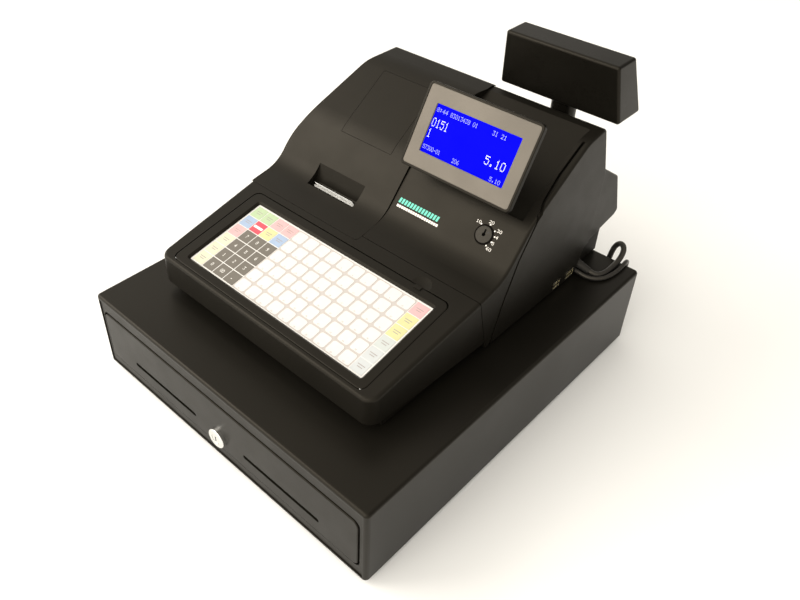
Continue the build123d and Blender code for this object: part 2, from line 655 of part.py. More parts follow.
def cover_wing():
    """The cover's right edge widens towards the hinge, over the floor of the trough."""
    inside = SEAM_X - 1
    plan = make_face(Polyline(
        (inside, WING_FRONT[1]), WING_FRONT, WING_BEND, (WING_BEND[0], WING_BACK), (inside, WING_BACK), close=True))
    floor = Pos(0, 0, 0.5) * side_slab(trough_outline(), inside - 1, 40)
    return (side_slab(outline(COVER_SIDE), inside, 40) - floor) & plan_slab(plan, 200, 300)


def printer_cover():
    room = cover_solid(COVER_SKIN)
    shell = cover_solid(0) - room
    shell -= block((LEFT + COVER_SKIN, 206, COVER_LOW - 1), (SEAM_X - COVER_SKIN, 398 - COVER_SKIN, COVER_LOW + 4))
    roll_way = block((SLOT_MID_X - 36, COVER_BACK - COVER_SKIN - 1, COVER_LOW - 1),
                     (SLOT_MID_X + 36, COVER_BACK + 1, 236))
    shell -= roll_way
    notch = outline([((232, 171.5), 0), ((247, 175), 1.5), ((254.5, 196), 0), ((236, 196), 0)])
    shell += paper_throat() + cover_wing()
    shell -= side_slab(notch, SLOT_MID_X - 37, SLOT_MID_X + 33)
    shell -= paper_slot()
    plane = slope_plane(0, 285, 232.5, math.degrees(math.atan2(52, 77)))
    shell -= plane * inset_block(0.35, -1.8, 6)
    for room in knuckles(CASE_KNUCKLES, 4.6, 0.4):
        shell -= room
    for barrel in knuckles(COVER_KNUCKLES, 4):
        shell += barrel
    for bore in knuckles(HINGE_PINS, 1.56, 0.1):
        shell -= bore
    return shell


def paper_throat():
    """The pocket that the paper notch is sunk into, under the cover's skin."""
    pocket = outline([((233, 168.6), 0), ((249, 172.2), 0), ((256.5, 194), 0), ((238, 176), 0)])
    return side_slab(pocket, SLOT_MID_X - 39, SLOT_MID_X + 35)


def paper_slot():
    lean = math.tan(math.radians(SHEAR))
    face = make_face(Polyline(
        (241.5 + 6 * lean, 164), (246.0 + 6 * lean, 164), (246.0 - 8 * lean, 178), (241.5 - 8 * lean, 178), close=True))
    return side_slab(face, SLOT_MID_X - 33, SLOT_MID_X + 33 - 1)


def inset_block(gap, low, high):
    """The cover's inset panel in the plane of the cover's long slope."""
    near, far = -9.5, 81.0
    body = block((-101 - gap, near - gap, low), (-27 + gap, far + gap, high))
    return fillet(body.edges().filter_by(Axis.Z), 3)


def cover_inset():
    plane = slope_plane(0, 285, 232.5, math.degrees(math.atan2(52, 77)))
    return (plane * inset_block(0, -1.8, 6)) & cover_solid(0)


def hinge_pins():
    return Compound(knuckles(HINGE_PINS, 1.5))


def tear_bar():
    """A serrated strip standing on the floor of the paper notch."""
    left, right = SLOT_MID_X - 32, SLOT_MID_X + 32
    teeth = 32
    pitch = (right - left) / teeth
    edge = [(left + i * pitch / 2, 175.4 + (i % 2)) for i in range(2 * teeth + 1)]
    strip = make_face(Polyline((right, 173.6), (left, 173.6), *edge, close=True))
    return front_slab(strip, 239.2, 239.8)


# ---- register: printer ----

def paper_point(along, across):
    """A (y, z) point by its distances along the paper's path from PAPER_Z and behind it."""
    lean = math.radians(SHEAR)
    return (PAPER_Y - along * math.sin(lean) + across * math.cos(lean),
            PAPER_Z + along * math.cos(lean) + across * math.sin(lean))


def printer_frame():
    """Two side plates tied together by a cross bar, standing on the base pan."""
    plate = outline([((229, 104), 0), ((284, 104), 0), ((284, 128), 6), ((262, 158), 6), ((249, 164), 4),
                     ((236, 164), 6), ((229, 140), 6)])
    frame = side_slab(plate, SLOT_MID_X - 38, SLOT_MID_X - 36) + side_slab(plate, SLOT_MID_X + 36, SLOT_MID_X + 38)
    for side in (-38, 38):
        inner = side * 0.6
        frame += block((SLOT_MID_X + min(side, inner), 229, 104), (SLOT_MID_X + max(side, inner), 284, 106))
    frame += block((SLOT_MID_X - 37, 231, 120), (SLOT_MID_X + 37, 235, 132))
    frame += block((SLOT_MID_X - 37, 276, 108), (SLOT_MID_X + 37, 280, 120))
    shaft = rod((-130, PLATEN_Y, PLATEN_Z), (0, PLATEN_Y, PLATEN_Z), 2.55)
    return frame - shaft


def print_head():
    near, far = paper_point(-17, 0.5), paper_point(-4, 0.5)
    back_near, back_far = paper_point(-17, 6.5), paper_point(-4, 6.5)
    body = make_face(Polyline(near, far, back_far, back_near, close=True))
    head = side_slab(body, SLOT_MID_X - 34, SLOT_MID_X + 34)
    for i in range(4):
        a, b = -17 + i * 3.2, -15.8 + i * 3.2
        fin = Polyline(paper_point(a, 6.5), paper_point(b, 6.5), paper_point(b, 11), paper_point(a, 11), close=True)
        head += side_slab(make_face(fin), SLOT_MID_X - 34, SLOT_MID_X + 34)
    return head


def gear(teeth, width, tooth_at):
    """A spur gear across x, at the origin, with the middle of one tooth at the angle tooth_at."""
    pitch_r = GEAR_MODULE * teeth / 2
    root, tip = pitch_r - 1.25 * GEAR_MODULE, pitch_r + 0.85 * GEAR_MODULE
    step = 2 * math.pi / teeth
    points = []
    for i in range(teeth):
        middle = math.radians(tooth_at) + i * step
        for radius, turn in ((root, -0.30), (tip, -0.13), (tip, 0.13), (root, 0.30)):
            angle = middle + turn * step
            points.append((radius * math.cos(angle), radius * math.sin(angle)))
    return side_slab(make_face(Polyline(*points, close=True)), 0, width)


def platen_roller():
    roller = rod((SLOT_MID_X - 29, PLATEN_Y, PLATEN_Z), (SLOT_MID_X + 29, PLATEN_Y, PLATEN_Z), PLATEN_R)
    shaft = rod((SLOT_MID_X - 41, PLATEN_Y, PLATEN_Z), (SLOT_MID_X + 45, PLATEN_Y, PLATEN_Z), 2.5)
    wheel = Pos(SLOT_MID_X + 40, PLATEN_Y, PLATEN_Z) * gear(PLATEN_TEETH, 5, PINION_TURN)
    return roller + shaft + wheel


def motor_axis():
    reach = GEAR_MODULE * (PLATEN_TEETH + PINION_TEETH) / 2
    turn = math.radians(PINION_TURN)
    return PLATEN_Y + reach * math.cos(turn), PLATEN_Z + reach * math.sin(turn)


def motor_pinion():
    y, z = motor_axis()
    tooth_at = PINION_TURN + 180 + 180 / PINION_TEETH
    return Pos(SLOT_MID_X + 40, y, z) * gear(PINION_TEETH, 5, tooth_at) - rod(
        (SLOT_MID_X + 39, y, z), (SLOT_MID_X + 46, y, z), 1.05)


def printer_motor():
    """The motor with its shaft, on a foot that stands on the base pan."""
    y, z = motor_axis()
    left = SLOT_MID_X + 46.8
    body = rod((left, y, z), (left + 20, y, z), 10.5)
    foot = block((left + 1, y - 9, 106), (left + 19, y + 9, z))
    plate = block((left + 1, y - 14, 104), (left + 19, y + 14, 107))
    return body + foot + plate + rod((SLOT_MID_X + 40.5, y, z), (left, y, z), 1.0)


def paper_bucket():
    body = block((SLOT_MID_X - 34, 288, 106), (SLOT_MID_X + 34, 372, 156))
    body -= rod((SLOT_MID_X - 31, ROLL_Y, ROLL_Z), (SLOT_MID_X + 31, ROLL_Y, ROLL_Z), ROLL_R + 3)
    body -= block((SLOT_MID_X - 35, 287, 136), (SLOT_MID_X + 35, 314, 170))
    body -= block((SLOT_MID_X - 31, 314, 150), (SLOT_MID_X + 31, 369, 170))
    legs = block((SLOT_MID_X - 34, 300, 104), (SLOT_MID_X + 34, 308, 106))
    return body + legs + (Pos(0, 52, 0) * legs)


def paper_roll():
    low, high = SLOT_MID_X - PAPER_WIDTH / 2, SLOT_MID_X + PAPER_WIDTH / 2
    return tube((low, ROLL_Y, ROLL_Z), (high, ROLL_Y, ROLL_Z), ROLL_R - 0.4, 6)


def receipt_strip():
    """The paper's free end, from under the roll, past the print head and out of the slot."""
    route = FilletPolyline((318.0, 137.6), paper_point(-22, 0), paper_point(13.0, 0), radius=[9])
    half = PAPER_WIDTH / 2
    return side_slab(trace(route, 0.25), SLOT_MID_X - half, SLOT_MID_X + half)


# ---- register: electronics ----

def main_board():
    board = block((14, 250, 114), (140, 372, 115.6))
    for x in (20, 134):
        for y in (256, 366):
            board += rod((x, y, 104), (x, y, 114), 3)
    board += block((60, 290, 115.6), (84, 314, 118)) + block((100, 330, 115.6), (112, 352, 118))
    return board + block((30, 340, 115.6), (52, 360, 127))


def power_transformer():
    core = block((-146, 412, 104), (-96, 445, 132))
    return core + block((-141, 406, 108), (-101, 412, 128)) + block((-141, 445, 108), (-101, 450, 128))


# ---- register: displays ----

def display_plane():
    return slope_plane(DISPLAY_X, DISPLAY_Y, DISPLAY_Z, DISPLAY_TILT)


def tilt_pin_at():
    """The tilt pin's place in the display's plane: up the screen and out of it."""
    back, up = TILT_PIN_Y - DISPLAY_Y, TILT_PIN_Z - DISPLAY_Z
    angle = math.radians(DISPLAY_TILT)
    return back * math.cos(angle) + up * math.sin(angle), -back * math.sin(angle) + up * math.cos(angle)


def display_shell():
    half_x, half_y = BEZEL_WIDTH / 2 + 2.5, BEZEL_HEIGHT / 2 + 2.5
    rim = block((-half_x, -half_y, -DISPLAY_RIM), (half_x, half_y, 0.6))
    rim = fillet(rim.edges().filter_by(Axis.Z), 5)
    rim = chamfer(rim.faces().sort_by(Axis.Z)[0].edges(), 2)
    rim = fillet(rim.faces().sort_by(Axis.Z)[-1].edges(), 1)
    back = block((-59, -36, -DISPLAY_DEPTH), (59, 36, -DISPLAY_RIM + 1))
    back = fillet(back.edges().filter_by(Axis.Z), 5)
    back = chamfer(back.faces().sort_by(Axis.Z)[0].edges(), 4)
    body = rim + back
    seat = block((-BEZEL_WIDTH / 2, -BEZEL_HEIGHT / 2, -2), (BEZEL_WIDTH / 2, BEZEL_HEIGHT / 2, 2))
    body -= fillet(seat.edges().filter_by(Axis.Z), 3)
    body -= block((-56.6, -33.6, -DISPLAY_DEPTH + 2.5), (56.6, 33.6, -1))
    up, out = tilt_pin_at()
    for low, high in ((-27, -14), (14, 27)):
        body += rod((low, up, out), (high, up, out), 7) + block((low, up - 7, out), (high, up + 7, -DISPLAY_DEPTH))
    return display_plane() * (body - rod((-28, up, out), (28, up, out), 3.05))


def display_bezel():
    frame = block((-BEZEL_WIDTH / 2, -BEZEL_HEIGHT / 2, -2), (BEZEL_WIDTH / 2, BEZEL_HEIGHT / 2, 0))
    frame = fillet(frame.edges().filter_by(Axis.Z), 3)
    frame = fillet(frame.faces().sort_by(Axis.Z)[-1].edges(), 0.5)
    window = block((-SCREEN_WIDTH / 2, -SCREEN_HEIGHT / 2, -3), (SCREEN_WIDTH / 2, SCREEN_HEIGHT / 2, 1))
    return display_plane() * (frame - fillet(window.edges().filter_by(Axis.Z), 1))


def display_screen():
    return display_plane() * block((-56, -30, -8), (56, 30, -2))


def trough_floor(y):
    (front, low), (back, high) = TROUGH[0][0], TROUGH[1][0]
    return low + (y - front) * (high - low) / (back - front)


def display_bracket():
    ear = make_face(Polyline(
        (TILT_PIN_Y - 6.7, TILT_PIN_Z), (286, trough_floor(286)), (316, trough_floor(316)),
        (TILT_PIN_Y + 6.6, TILT_PIN_Z + 1), close=True))
    slope = math.degrees(math.atan2(TROUGH[1][0][1] - TROUGH[0][0][1], TROUGH[1][0][0] - TROUGH[0][0][0]))
    foot = slope_plane(DISPLAY_X, TROUGH[0][0][0], TROUGH[0][0][1], slope) * block((-30, 3, 0), (30, 42, 3))
    body = side_slab(ear, DISPLAY_X - 13, DISPLAY_X + 13) + foot
    body += rod((DISPLAY_X - 13, TILT_PIN_Y, TILT_PIN_Z), (DISPLAY_X + 13, TILT_PIN_Y, TILT_PIN_Z), 6.8)
    return body + rod((DISPLAY_X - 28, TILT_PIN_Y, TILT_PIN_Z), (DISPLAY_X + 28, TILT_PIN_Y, TILT_PIN_Z), 3)


def housing_outline(inset):
    low, high = HOUSING_LOW + 0.3 + inset, HOUSING_LOW + HOUSING_HEIGHT - inset
    front_low, front_high = POST_Y - 16 + inset, POST_Y - 27.7 + inset
    back_low, back_high = POST_Y + 26 - inset, POST_Y + 5.3 - inset
    return make_face(Polyline((front_low, low), (front_high, high), (back_high, high), (back_low, low), close=True))


def housing_ends(inset):
    low, high = HOUSING_LOW + 0.3 + inset, HOUSING_LOW + HOUSING_HEIGHT - inset
    wide, narrow = 71.5 - inset, 64.5 - inset
    return make_face(Polyline(
        (POST_X - wide, low), (POST_X + wide, low), (POST_X + narrow, high), (POST_X - narrow, high), close=True))


def window_plane():
    """The middle of the customer display's back, facing the customer."""
    tilt = math.atan2(20.7, HOUSING_HEIGHT - 0.3)
    out = Vector(0, math.cos(tilt), math.sin(tilt))
    return Plane(origin=(POST_X, POST_Y + 15.65, HOUSING_LOW + HOUSING_HEIGHT / 2 + 0.15), x_dir=(-1, 0, 0), z_dir=out)


def customer_housing():
    outer = side_slab(housing_outline(0), POST_X - 80, POST_X + 80) & front_slab(housing_ends(0), 380, 450)
    outer = fillet(outer.edges(), 3)
    inner = side_slab(housing_outline(2.6), POST_X - 80, POST_X + 80) & front_slab(housing_ends(2.6), 380, 450)
    return outer - inner - window_plane() * block((-56, -17, -4), (56, 17, 3))


def customer_window():
    return window_plane() * block((-56, -17, -2.2), (56, 17, -0.4))


def customer_post():
    return rod((POST_X, POST_Y, 200), (POST_X, POST_Y, HOUSING_LOW), POST_R)


# ---- cords ----

def corner_radii(route):
    """An arc for each inner point of a route, as large as its two runs allow."""
    radii = []
    for before, here, after in zip(route, route[1:], route[2:]):
        first, second = Vector(*here) - Vector(*before), Vector(*after) - Vector(*here)
        half_turn = math.radians(first.get_angle(second) / 2)
        radii.append(0.45 * min(first.length, second.length) / math.tan(half_turn))
    return radii


def cord_tube(route, radius, name):
    """A round cord along straight runs joined by tangent arcs."""
    radii = corner_radii(route)
    path = FilletPolyline(*route, radius=radii)
    section = Plane(origin=path @ 0, z_dir=path % 0) * Circle(radius)
    cord = sweep(section, path=path)
    expected = math.pi * radius ** 2 * path.length
    print(name, "length", round(path.length, 1), "volume ratio", round(cord.volume / expected, 4))
    print(name, "radii", [round(r, 1) for r in radii])
    return cord


def mains_relief():
    start, end = (Vector(*point) for point in MAINS_RELIEF)
    sleeve = Cone(5.6, 3.9, (end - start).length, align=(Align.CENTER, Align.CENTER, Align.MIN))
    cone = Plane(origin=start, z_dir=end - start) * sleeve
    return cone - block((100, 380, 90), (PAN_RIGHT, 430, 130))


def mains_coil():
    low = -FOOT_HEIGHT
    outer, inner = COIL_R + 3 * MAINS_R, COIL_R - 3 * MAINS_R
    ring = tube((COIL_X, COIL_Y, low), (COIL_X, COIL_Y, low + 4 * MAINS_R), outer, inner)
    return ring


def mains_plug():
    """A round two-pin plug lying on the table beside the coil."""
    centre = (-22.0, 512.0, -FOOT_HEIGHT + 19.0)
    body = Cylinder(18.5, 14) + Pos(0, 0, 14) * Cone(18.5, 14, 14) + Pos(0, 0, 25) * Cylinder(14, 8)
    sleeve = Pos(0, 0, 35) * Cone(7, 4.4, 14)
    pins = [Pos(side * 9.5, 0, -16) * Cylinder(2.4, 19) for side in (-1, 1)]
    plug = body + sleeve + pins[0] + pins[1]
    return Pos(*centre) * (Rot(0, 90, 0) * plug)


PIECES = {
    "cabinet_shell": cabinet_shell, "cabinet_bottom": cabinet_bottom, "front_frame": front_frame,
    "drawer_feet": drawer_feet, "cabinet_rails": cabinet_rails, "release_solenoid": release_solenoid,
    "push_spring": push_spring, "cable_gland": cable_gland, "latch_lever": latch_lever,
    "drawer_front": drawer_front, "drawer_tray": drawer_tray, "till_insert": till_insert,
    "clip_rod": clip_rod, "drawer_lock_housing": lock_housing, "drawer_lock_plug": lock_plug,
    "base_pan": base_pan, "register_feet": register_feet, "keyboard_case": keyboard_case,
    "keyboard_frame": keyboard_frame, "keyboard_pins": keyboard_pins,
    "main_case": main_case, "rear_hood": rear_hood, "case_screws": case_screws,
    "post_collar": post_collar, "mode_lock_bezel": mode_lock_bezel, "mode_lock_plug": mode_lock_plug,
    "printer_cover": printer_cover, "cover_inset": cover_inset, "tear_bar": tear_bar,
    "cover_hinge_pins": hinge_pins, "printer_frame": printer_frame, "print_head": print_head,
    "platen_roller": platen_roller, "motor_pinion": motor_pinion, "printer_motor": printer_motor,
    "paper_bucket": paper_bucket, "paper_roll": paper_roll, "receipt_strip": receipt_strip,
    "main_board": main_board, "port_connectors": port_connectors, "power_transformer": power_transformer,
    "display_bracket": display_bracket, "display_shell": display_shell,
    "display_bezel": display_bezel, "display_screen": display_screen, "customer_post": customer_post,
    "customer_housing": customer_housing, "customer_window": customer_window,
    "mains_relief": mains_relief, "mains_coil": mains_coil, "mains_plug": mains_plug,
}


def main():
    os.makedirs("parts", exist_ok=True)
    for name, make in PIECES.items():
        export(make(), name)
    for number, (left, right) in enumerate(bay_edges(NOTE_BAYS), start=1):
        export(note_clip((left + right) / 2), f"note_clip_{number}")
    export(keyboard_stack(3.05, 3.55, 5), "key_sheet")
    export(keyboard_stack(3.6, 6.4, 5), "key_mat")
    export(keyboard_stack(6.45, 8.05, 5), "keyboard_board")
    export(cord_tube(MAINS_ROUTE, MAINS_R, "mains_cord"), "mains_cord")
    export(cord_tube(CABLE_ROUTE, CABLE_R, "drawer_cable"), "drawer_cable")


main()
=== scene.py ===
"""Looks of a cash register on its cash drawer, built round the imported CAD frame. Metres throughout."""
import math

import bpy
import bmesh
from mathutils import Matrix, Vector
from mathutils.bvhtree import BVHTree


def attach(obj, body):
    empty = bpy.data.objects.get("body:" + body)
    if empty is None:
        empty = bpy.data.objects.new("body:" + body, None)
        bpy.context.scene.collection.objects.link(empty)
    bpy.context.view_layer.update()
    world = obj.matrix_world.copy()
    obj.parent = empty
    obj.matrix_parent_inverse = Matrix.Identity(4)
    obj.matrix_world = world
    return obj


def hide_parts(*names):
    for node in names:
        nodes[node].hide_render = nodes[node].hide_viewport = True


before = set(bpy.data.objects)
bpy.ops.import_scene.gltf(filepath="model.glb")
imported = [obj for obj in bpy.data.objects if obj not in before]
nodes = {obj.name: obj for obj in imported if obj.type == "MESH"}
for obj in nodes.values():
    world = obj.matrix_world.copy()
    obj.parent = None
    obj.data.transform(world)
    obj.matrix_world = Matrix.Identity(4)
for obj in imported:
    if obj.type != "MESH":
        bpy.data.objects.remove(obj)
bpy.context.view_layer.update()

MM = 0.001
DRAWER_FACE_Y = -0.2335        # the drawer's front face
CABINET_Z = 0.007              # underside of the cabinet, on its feet
KEY_SLOPE = math.radians(11.2)
PANEL_SLOPE = math.radians(49.4)
SCREEN_SLOPE = math.radians(59.7)


def at(x, y, z):
    """A point given in mm from the drawer's middle, its front face and the cabinet's underside."""
    return Vector((x * MM, DRAWER_FACE_Y + y * MM, CABINET_Z + z * MM))


def sloping_plane(x, y, z, slope):
    """Matrix of a plane whose first axis is +X and whose second axis climbs backwards."""
    across = Vector((1, 0, 0))
    up = Vector((0, math.cos(slope), math.sin(slope)))
    out = across.cross(up)
    made = Matrix((across, up, out)).transposed().to_4x4()
    made.translation = at(x, y, z)
    return made


KEYBOARD = sloping_plane(-5.25, 129.25, 157.72, KEY_SLOPE)
PANEL = sloping_plane(114.2, 263.6, 204.0, PANEL_SLOPE)
SCREEN = sloping_plane(74.3, 278.9, 283.3, SCREEN_SLOPE)


# ---- camera ----

LENS = 36.7
LENS_SHIFT = (0.064, -0.041)
CAMERA_PLACE = (0.4696, -0.5285, 0.6911)
CAMERA_BACK = (0.5424, -0.5595, 0.6267)    # from what it looks at towards the camera


def make_camera():
    data = bpy.data.cameras.new("camera")
    data.sensor_width = 36.0
    data.lens = LENS
    data.shift_x, data.shift_y = LENS_SHIFT
    data.clip_start = 0.02
    camera = bpy.data.objects.new("camera", data)
    bpy.context.scene.collection.objects.link(camera)
    camera.location = CAMERA_PLACE
    camera.rotation_mode = "QUATERNION"
    camera.rotation_quaternion = (-Vector(CAMERA_BACK)).to_track_quat("-Z", "Y")
    bpy.context.scene.camera = camera


# ---- materials ----

class Shader:
    """A node material on one Principled shader, with short calls for what its inputs are built from."""

    def __init__(self, name):
        self.material = bpy.data.materials.new(name)
        self.material.use_nodes = True
        self.tree = self.material.node_tree
        self.surface = self.tree.nodes["Principled BSDF"]
        self.place = self.tree.nodes.new("ShaderNodeTexCoord").outputs["Object"]
        self.normal = None

    def node(self, kind, inputs=(), **settings):
        made = self.tree.nodes.new(kind)
        for key, value in settings.items():
            setattr(made, key, value)
        for key, value in dict(inputs).items():
            self.feed(made.inputs[key], value)
        return made

    def feed(self, socket, value):
        if isinstance(value, bpy.types.NodeSocket):
            self.tree.links.new(value, socket)
        elif socket.type == "RGBA":
            socket.default_value = (*value[:3], 1.0)
        else:
            socket.default_value = value

    def set(self, **values):
        """Constants set straight on the shader's own sockets."""
        for key, value in values.items():
            self.surface.inputs[key.replace("_", " ")].default_value = value
        return self

    def stretched(self, x, y, z):
        return self.node("ShaderNodeMapping", {"Vector": self.place, "Scale": (x, y, z)}).outputs[0]

    def noise(self, size, detail=2.0, vector=None, rough=0.55):
        """Noise whose blotches are about size metres across, from 0 to 1."""
        return self.node("ShaderNodeTexNoise", {
            "Vector": vector or self.place, "Scale": 1.0 / size, "Detail": detail, "Roughness": rough,
        }).outputs["Fac"]

    def spread(self, value, low, high, start=0.3, end=0.7):
        return self.node("ShaderNodeMapRange", {
            "Value": value, "From Min": start, "From Max": end, "To Min": low, "To Max": high,
        }).outputs[0]

    def mix(self, amount, first, second, blend="MIX"):
        made = self.node("ShaderNodeMix", data_type="RGBA", blend_type=blend)
        self.feed(made.inputs[0], amount)
        self.feed(made.inputs[6], first)
        self.feed(made.inputs[7], second)
        return made.outputs[2]

    def maths(self, operation, first, second=0.0):
        made = self.node("ShaderNodeMath", operation=operation)
        self.feed(made.inputs[0], first)
        self.feed(made.inputs[1], second)
        return made.outputs[0]

    def colour(self, value):
        self.feed(self.surface.inputs["Base Color"], value)
        return self

    def roughness(self, value):
        self.feed(self.surface.inputs["Roughness"], value)
        return self

    def rounded(self, radius):
        """Softens hard edges, as moulded and pressed edges are."""
        self.normal = self.node("ShaderNodeBevel", {"Radius": radius}, samples=4).outputs[0]
        return self

    def bump(self, height, depth, strength=1.0):
        made = self.node("ShaderNodeBump", {"Strength": strength, "Distance": depth, "Height": height})
        if self.normal is not None:
            self.feed(made.inputs["Normal"], self.normal)
        self.normal = made.outputs[0]
        return self

    def done(self):
        if self.normal is not None:
            self.feed(self.surface.inputs["Normal"], self.normal)
        return self.material


def rgb(red, green, blue):
    return (red, green, blue, 1.0)


WARM_SPECULAR = rgb(1.0, 0.90, 0.74)


def shaded(colour, factor):
    return rgb(*(c * factor for c in colour[:3]))


def moulded(name, colour, rough=0.42, grain=0.00045, depth=0.00003, specular=0.17, edge=0.0004):
    """Moulded plastic with a spark-eroded texture, faint flow marks and slightly polished patches."""
    s = Shader(name).set(Specular_Tint=WARM_SPECULAR, Specular_IOR_Level=specular)
    flow = s.noise(0.09, 3.0)
    fine = s.noise(grain, 2.0)
    s.colour(s.mix(s.spread(flow, 0.0, 1.0), shaded(colour, 0.86), shaded(colour, 1.14)))
    handled = s.noise(0.03, 4.0)
    s.roughness(s.maths("ADD", s.spread(handled, rough - 0.035, rough + 0.035), s.spread(fine, -0.03, 0.03)))
    return s.rounded(edge).bump(fine, depth, 0.55).done()


def powder_coat(name, colour, rough=0.36):
    """Powder coat on sheet steel: orange peel with a finer sparkle of grains over it."""
    s = Shader(name).set(Specular_Tint=WARM_SPECULAR, Specular_IOR_Level=0.2)
    peel = s.noise(0.0016, 1.0)
    grains = s.noise(0.00035, 2.0)
    wide = s.noise(0.12, 2.0)
    s.colour(s.mix(s.spread(wide, 0.0, 1.0), shaded(colour, 0.88), shaded(colour, 1.12)))
    s.roughness(s.maths("ADD", s.spread(wide, rough - 0.03, rough + 0.03), s.spread(grains, -0.04, 0.04)))
    return s.rounded(0.0006).bump(peel, 0.00003, 0.5).bump(grains, 0.00002, 0.5).done()


def zinc_sheet(name, colour=(0.56, 0.57, 0.58), rough=0.32):
    """Zinc plated sheet: soft spangle and rolling lines."""
    s = Shader(name).set(Metallic=1.0)
    spangle = s.node("ShaderNodeTexVoronoi", {"Vector": s.place, "Scale": 130.0}).outputs["Color"]
    tone = s.node("ShaderNodeSeparateColor", {"Color": spangle}).outputs[0]
    lines = s.noise(0.0006, 2.0, s.stretched(1.0, 0.03, 1.0))
    s.colour(s.mix(tone, shaded(colour, 0.86), shaded(colour, 1.08)))
    s.roughness(s.maths("ADD", s.spread(tone, rough - 0.06, rough + 0.06, 0.0, 1.0),
                        s.spread(lines, -0.05, 0.05)))
    return s.rounded(0.0003).bump(lines, 0.00001, 0.35).done()


def plated(name, colour=(0.80, 0.80, 0.78), rough=0.12):
    """Bright plating with polishing swirls and a few dull spots."""
    s = Shader(name).set(Metallic=1.0)
    swirl = s.noise(0.0012, 4.0, rough=0.7)
    s.colour(s.mix(s.spread(swirl, 0.0, 1.0), shaded(colour, 0.92), shaded(colour, 1.0)))
    s.roughness(s.spread(swirl, rough - 0.04, rough + 0.08))
    return s.rounded(0.0003).bump(swirl, 0.000008, 0.3).done()


def rubbery(name, colour, rough=0.62, specular=0.35):
    s = Shader(name).set(Specular_IOR_Level=specular, Specular_Tint=WARM_SPECULAR)
    fine = s.noise(0.0005, 3.0)
    dust = s.noise(0.02, 5.0, rough=0.7)
    s.colour(s.mix(s.spread(dust, 0.0, 1.0, 0.45, 0.8), colour, shaded(colour, 1.7)))
    s.roughness(s.spread(dust, rough - 0.07, rough + 0.07))
    return s.rounded(0.0003).bump(fine, 0.00003, 0.5).done()


def circuit_board(name):
    """Green solder resist over a grid of copper tracks, with pads."""
    s = Shader(name).set(Specular_IOR_Level=0.5)
    tracks = s.node("ShaderNodeTexBrick", {
        "Vector": s.place, "Scale": 260.0, "Mortar Size": 0.028, "Brick Width": 0.9, "Row Height": 0.5,
        "Color1": rgb(0, 0, 0), "Color2": rgb(0.1, 0.1, 0.1), "Mortar": rgb(1, 1, 1),
    }).outputs["Fac"]
    pads = s.node("ShaderNodeTexVoronoi", {
        "Vector": s.place, "Scale": 300.0, "Randomness": 0.35,
    }).outputs["Distance"]
    pad = s.spread(pads, 1.0, 0.0, 0.16, 0.2)
    resist = s.mix(tracks, rgb(0.006, 0.075, 0.03), rgb(0.015, 0.14, 0.055))
    s.colour(s.mix(pad, resist, rgb(0.55, 0.50, 0.38)))
    s.roughness(s.spread(s.noise(0.004), 0.3, 0.45))
    return s.bump(tracks, 0.00003, 0.5).done()


def sheet_paper(name, colour=(0.84, 0.84, 0.82)):
    """Thermal paper, smooth, with faint fibres."""
    s = Shader(name).set(Specular_IOR_Level=0.25, Sheen_Weight=0.08)
    fibres = s.noise(0.0008, 4.0, s.stretched(0.4, 1.0, 1.0), rough=0.7)
    s.colour(s.mix(s.spread(fibres, 0.0, 1.0), shaded(colour, 0.95), shaded(colour, 1.03)))
    s.roughness(s.spread(fibres, 0.5, 0.62))
    return s.bump(fibres, 0.00002, 0.4).done()


def wound_paper(name, axis):
    """The paper roll: rings of wound layers about the roll's axis, which is a point in metres."""
    s = Shader(name).set(Specular_IOR_Level=0.25)
    parts = s.node("ShaderNodeSeparateXYZ", {"Vector": s.place})
    across = s.maths("SUBTRACT", parts.outputs[1], axis[1])
    up = s.maths("SUBTRACT", parts.outputs[2], axis[2])
    radius = s.maths("SQRT", s.maths("ADD", s.maths("MULTIPLY", across, across), s.maths("MULTIPLY", up, up)))
    layers = s.maths("SINE", s.maths("MULTIPLY", radius, 2 * math.pi / 0.0007))
    wear = s.noise(0.004, 3.0)
    tone = s.maths("ADD", s.spread(layers, 0.0, 0.6, -1.0, 1.0), s.spread(wear, 0.0, 0.4))
    core = s.spread(radius, 1.0, 0.0, 0.0078, 0.0082)
    paper = s.mix(tone, rgb(0.68, 0.67, 0.63), rgb(0.86, 0.86, 0.83))
    s.colour(s.mix(core, paper, rgb(0.30, 0.22, 0.14)))
    s.roughness(s.spread(wear, 0.55, 0.7))
    return s.bump(layers, 0.00003, 0.5).done()


def turned_metal(name, colour, rough=0.28):
    """Machined or extruded metal with fine tool lines."""
    s = Shader(name).set(Metallic=1.0)
    lines = s.noise(0.0004, 2.0, s.stretched(1.0, 0.05, 0.05))
    blotch = s.noise(0.01, 3.0)
    s.colour(s.mix(s.spread(blotch, 0.0, 1.0), shaded(colour, 0.88), shaded(colour, 1.06)))
    s.roughness(s.maths("ADD", s.spread(lines, -0.06, 0.06), s.spread(blotch, rough - 0.04, rough + 0.04)))
    return s.rounded(0.0002).bump(lines, 0.00001, 0.4).done()


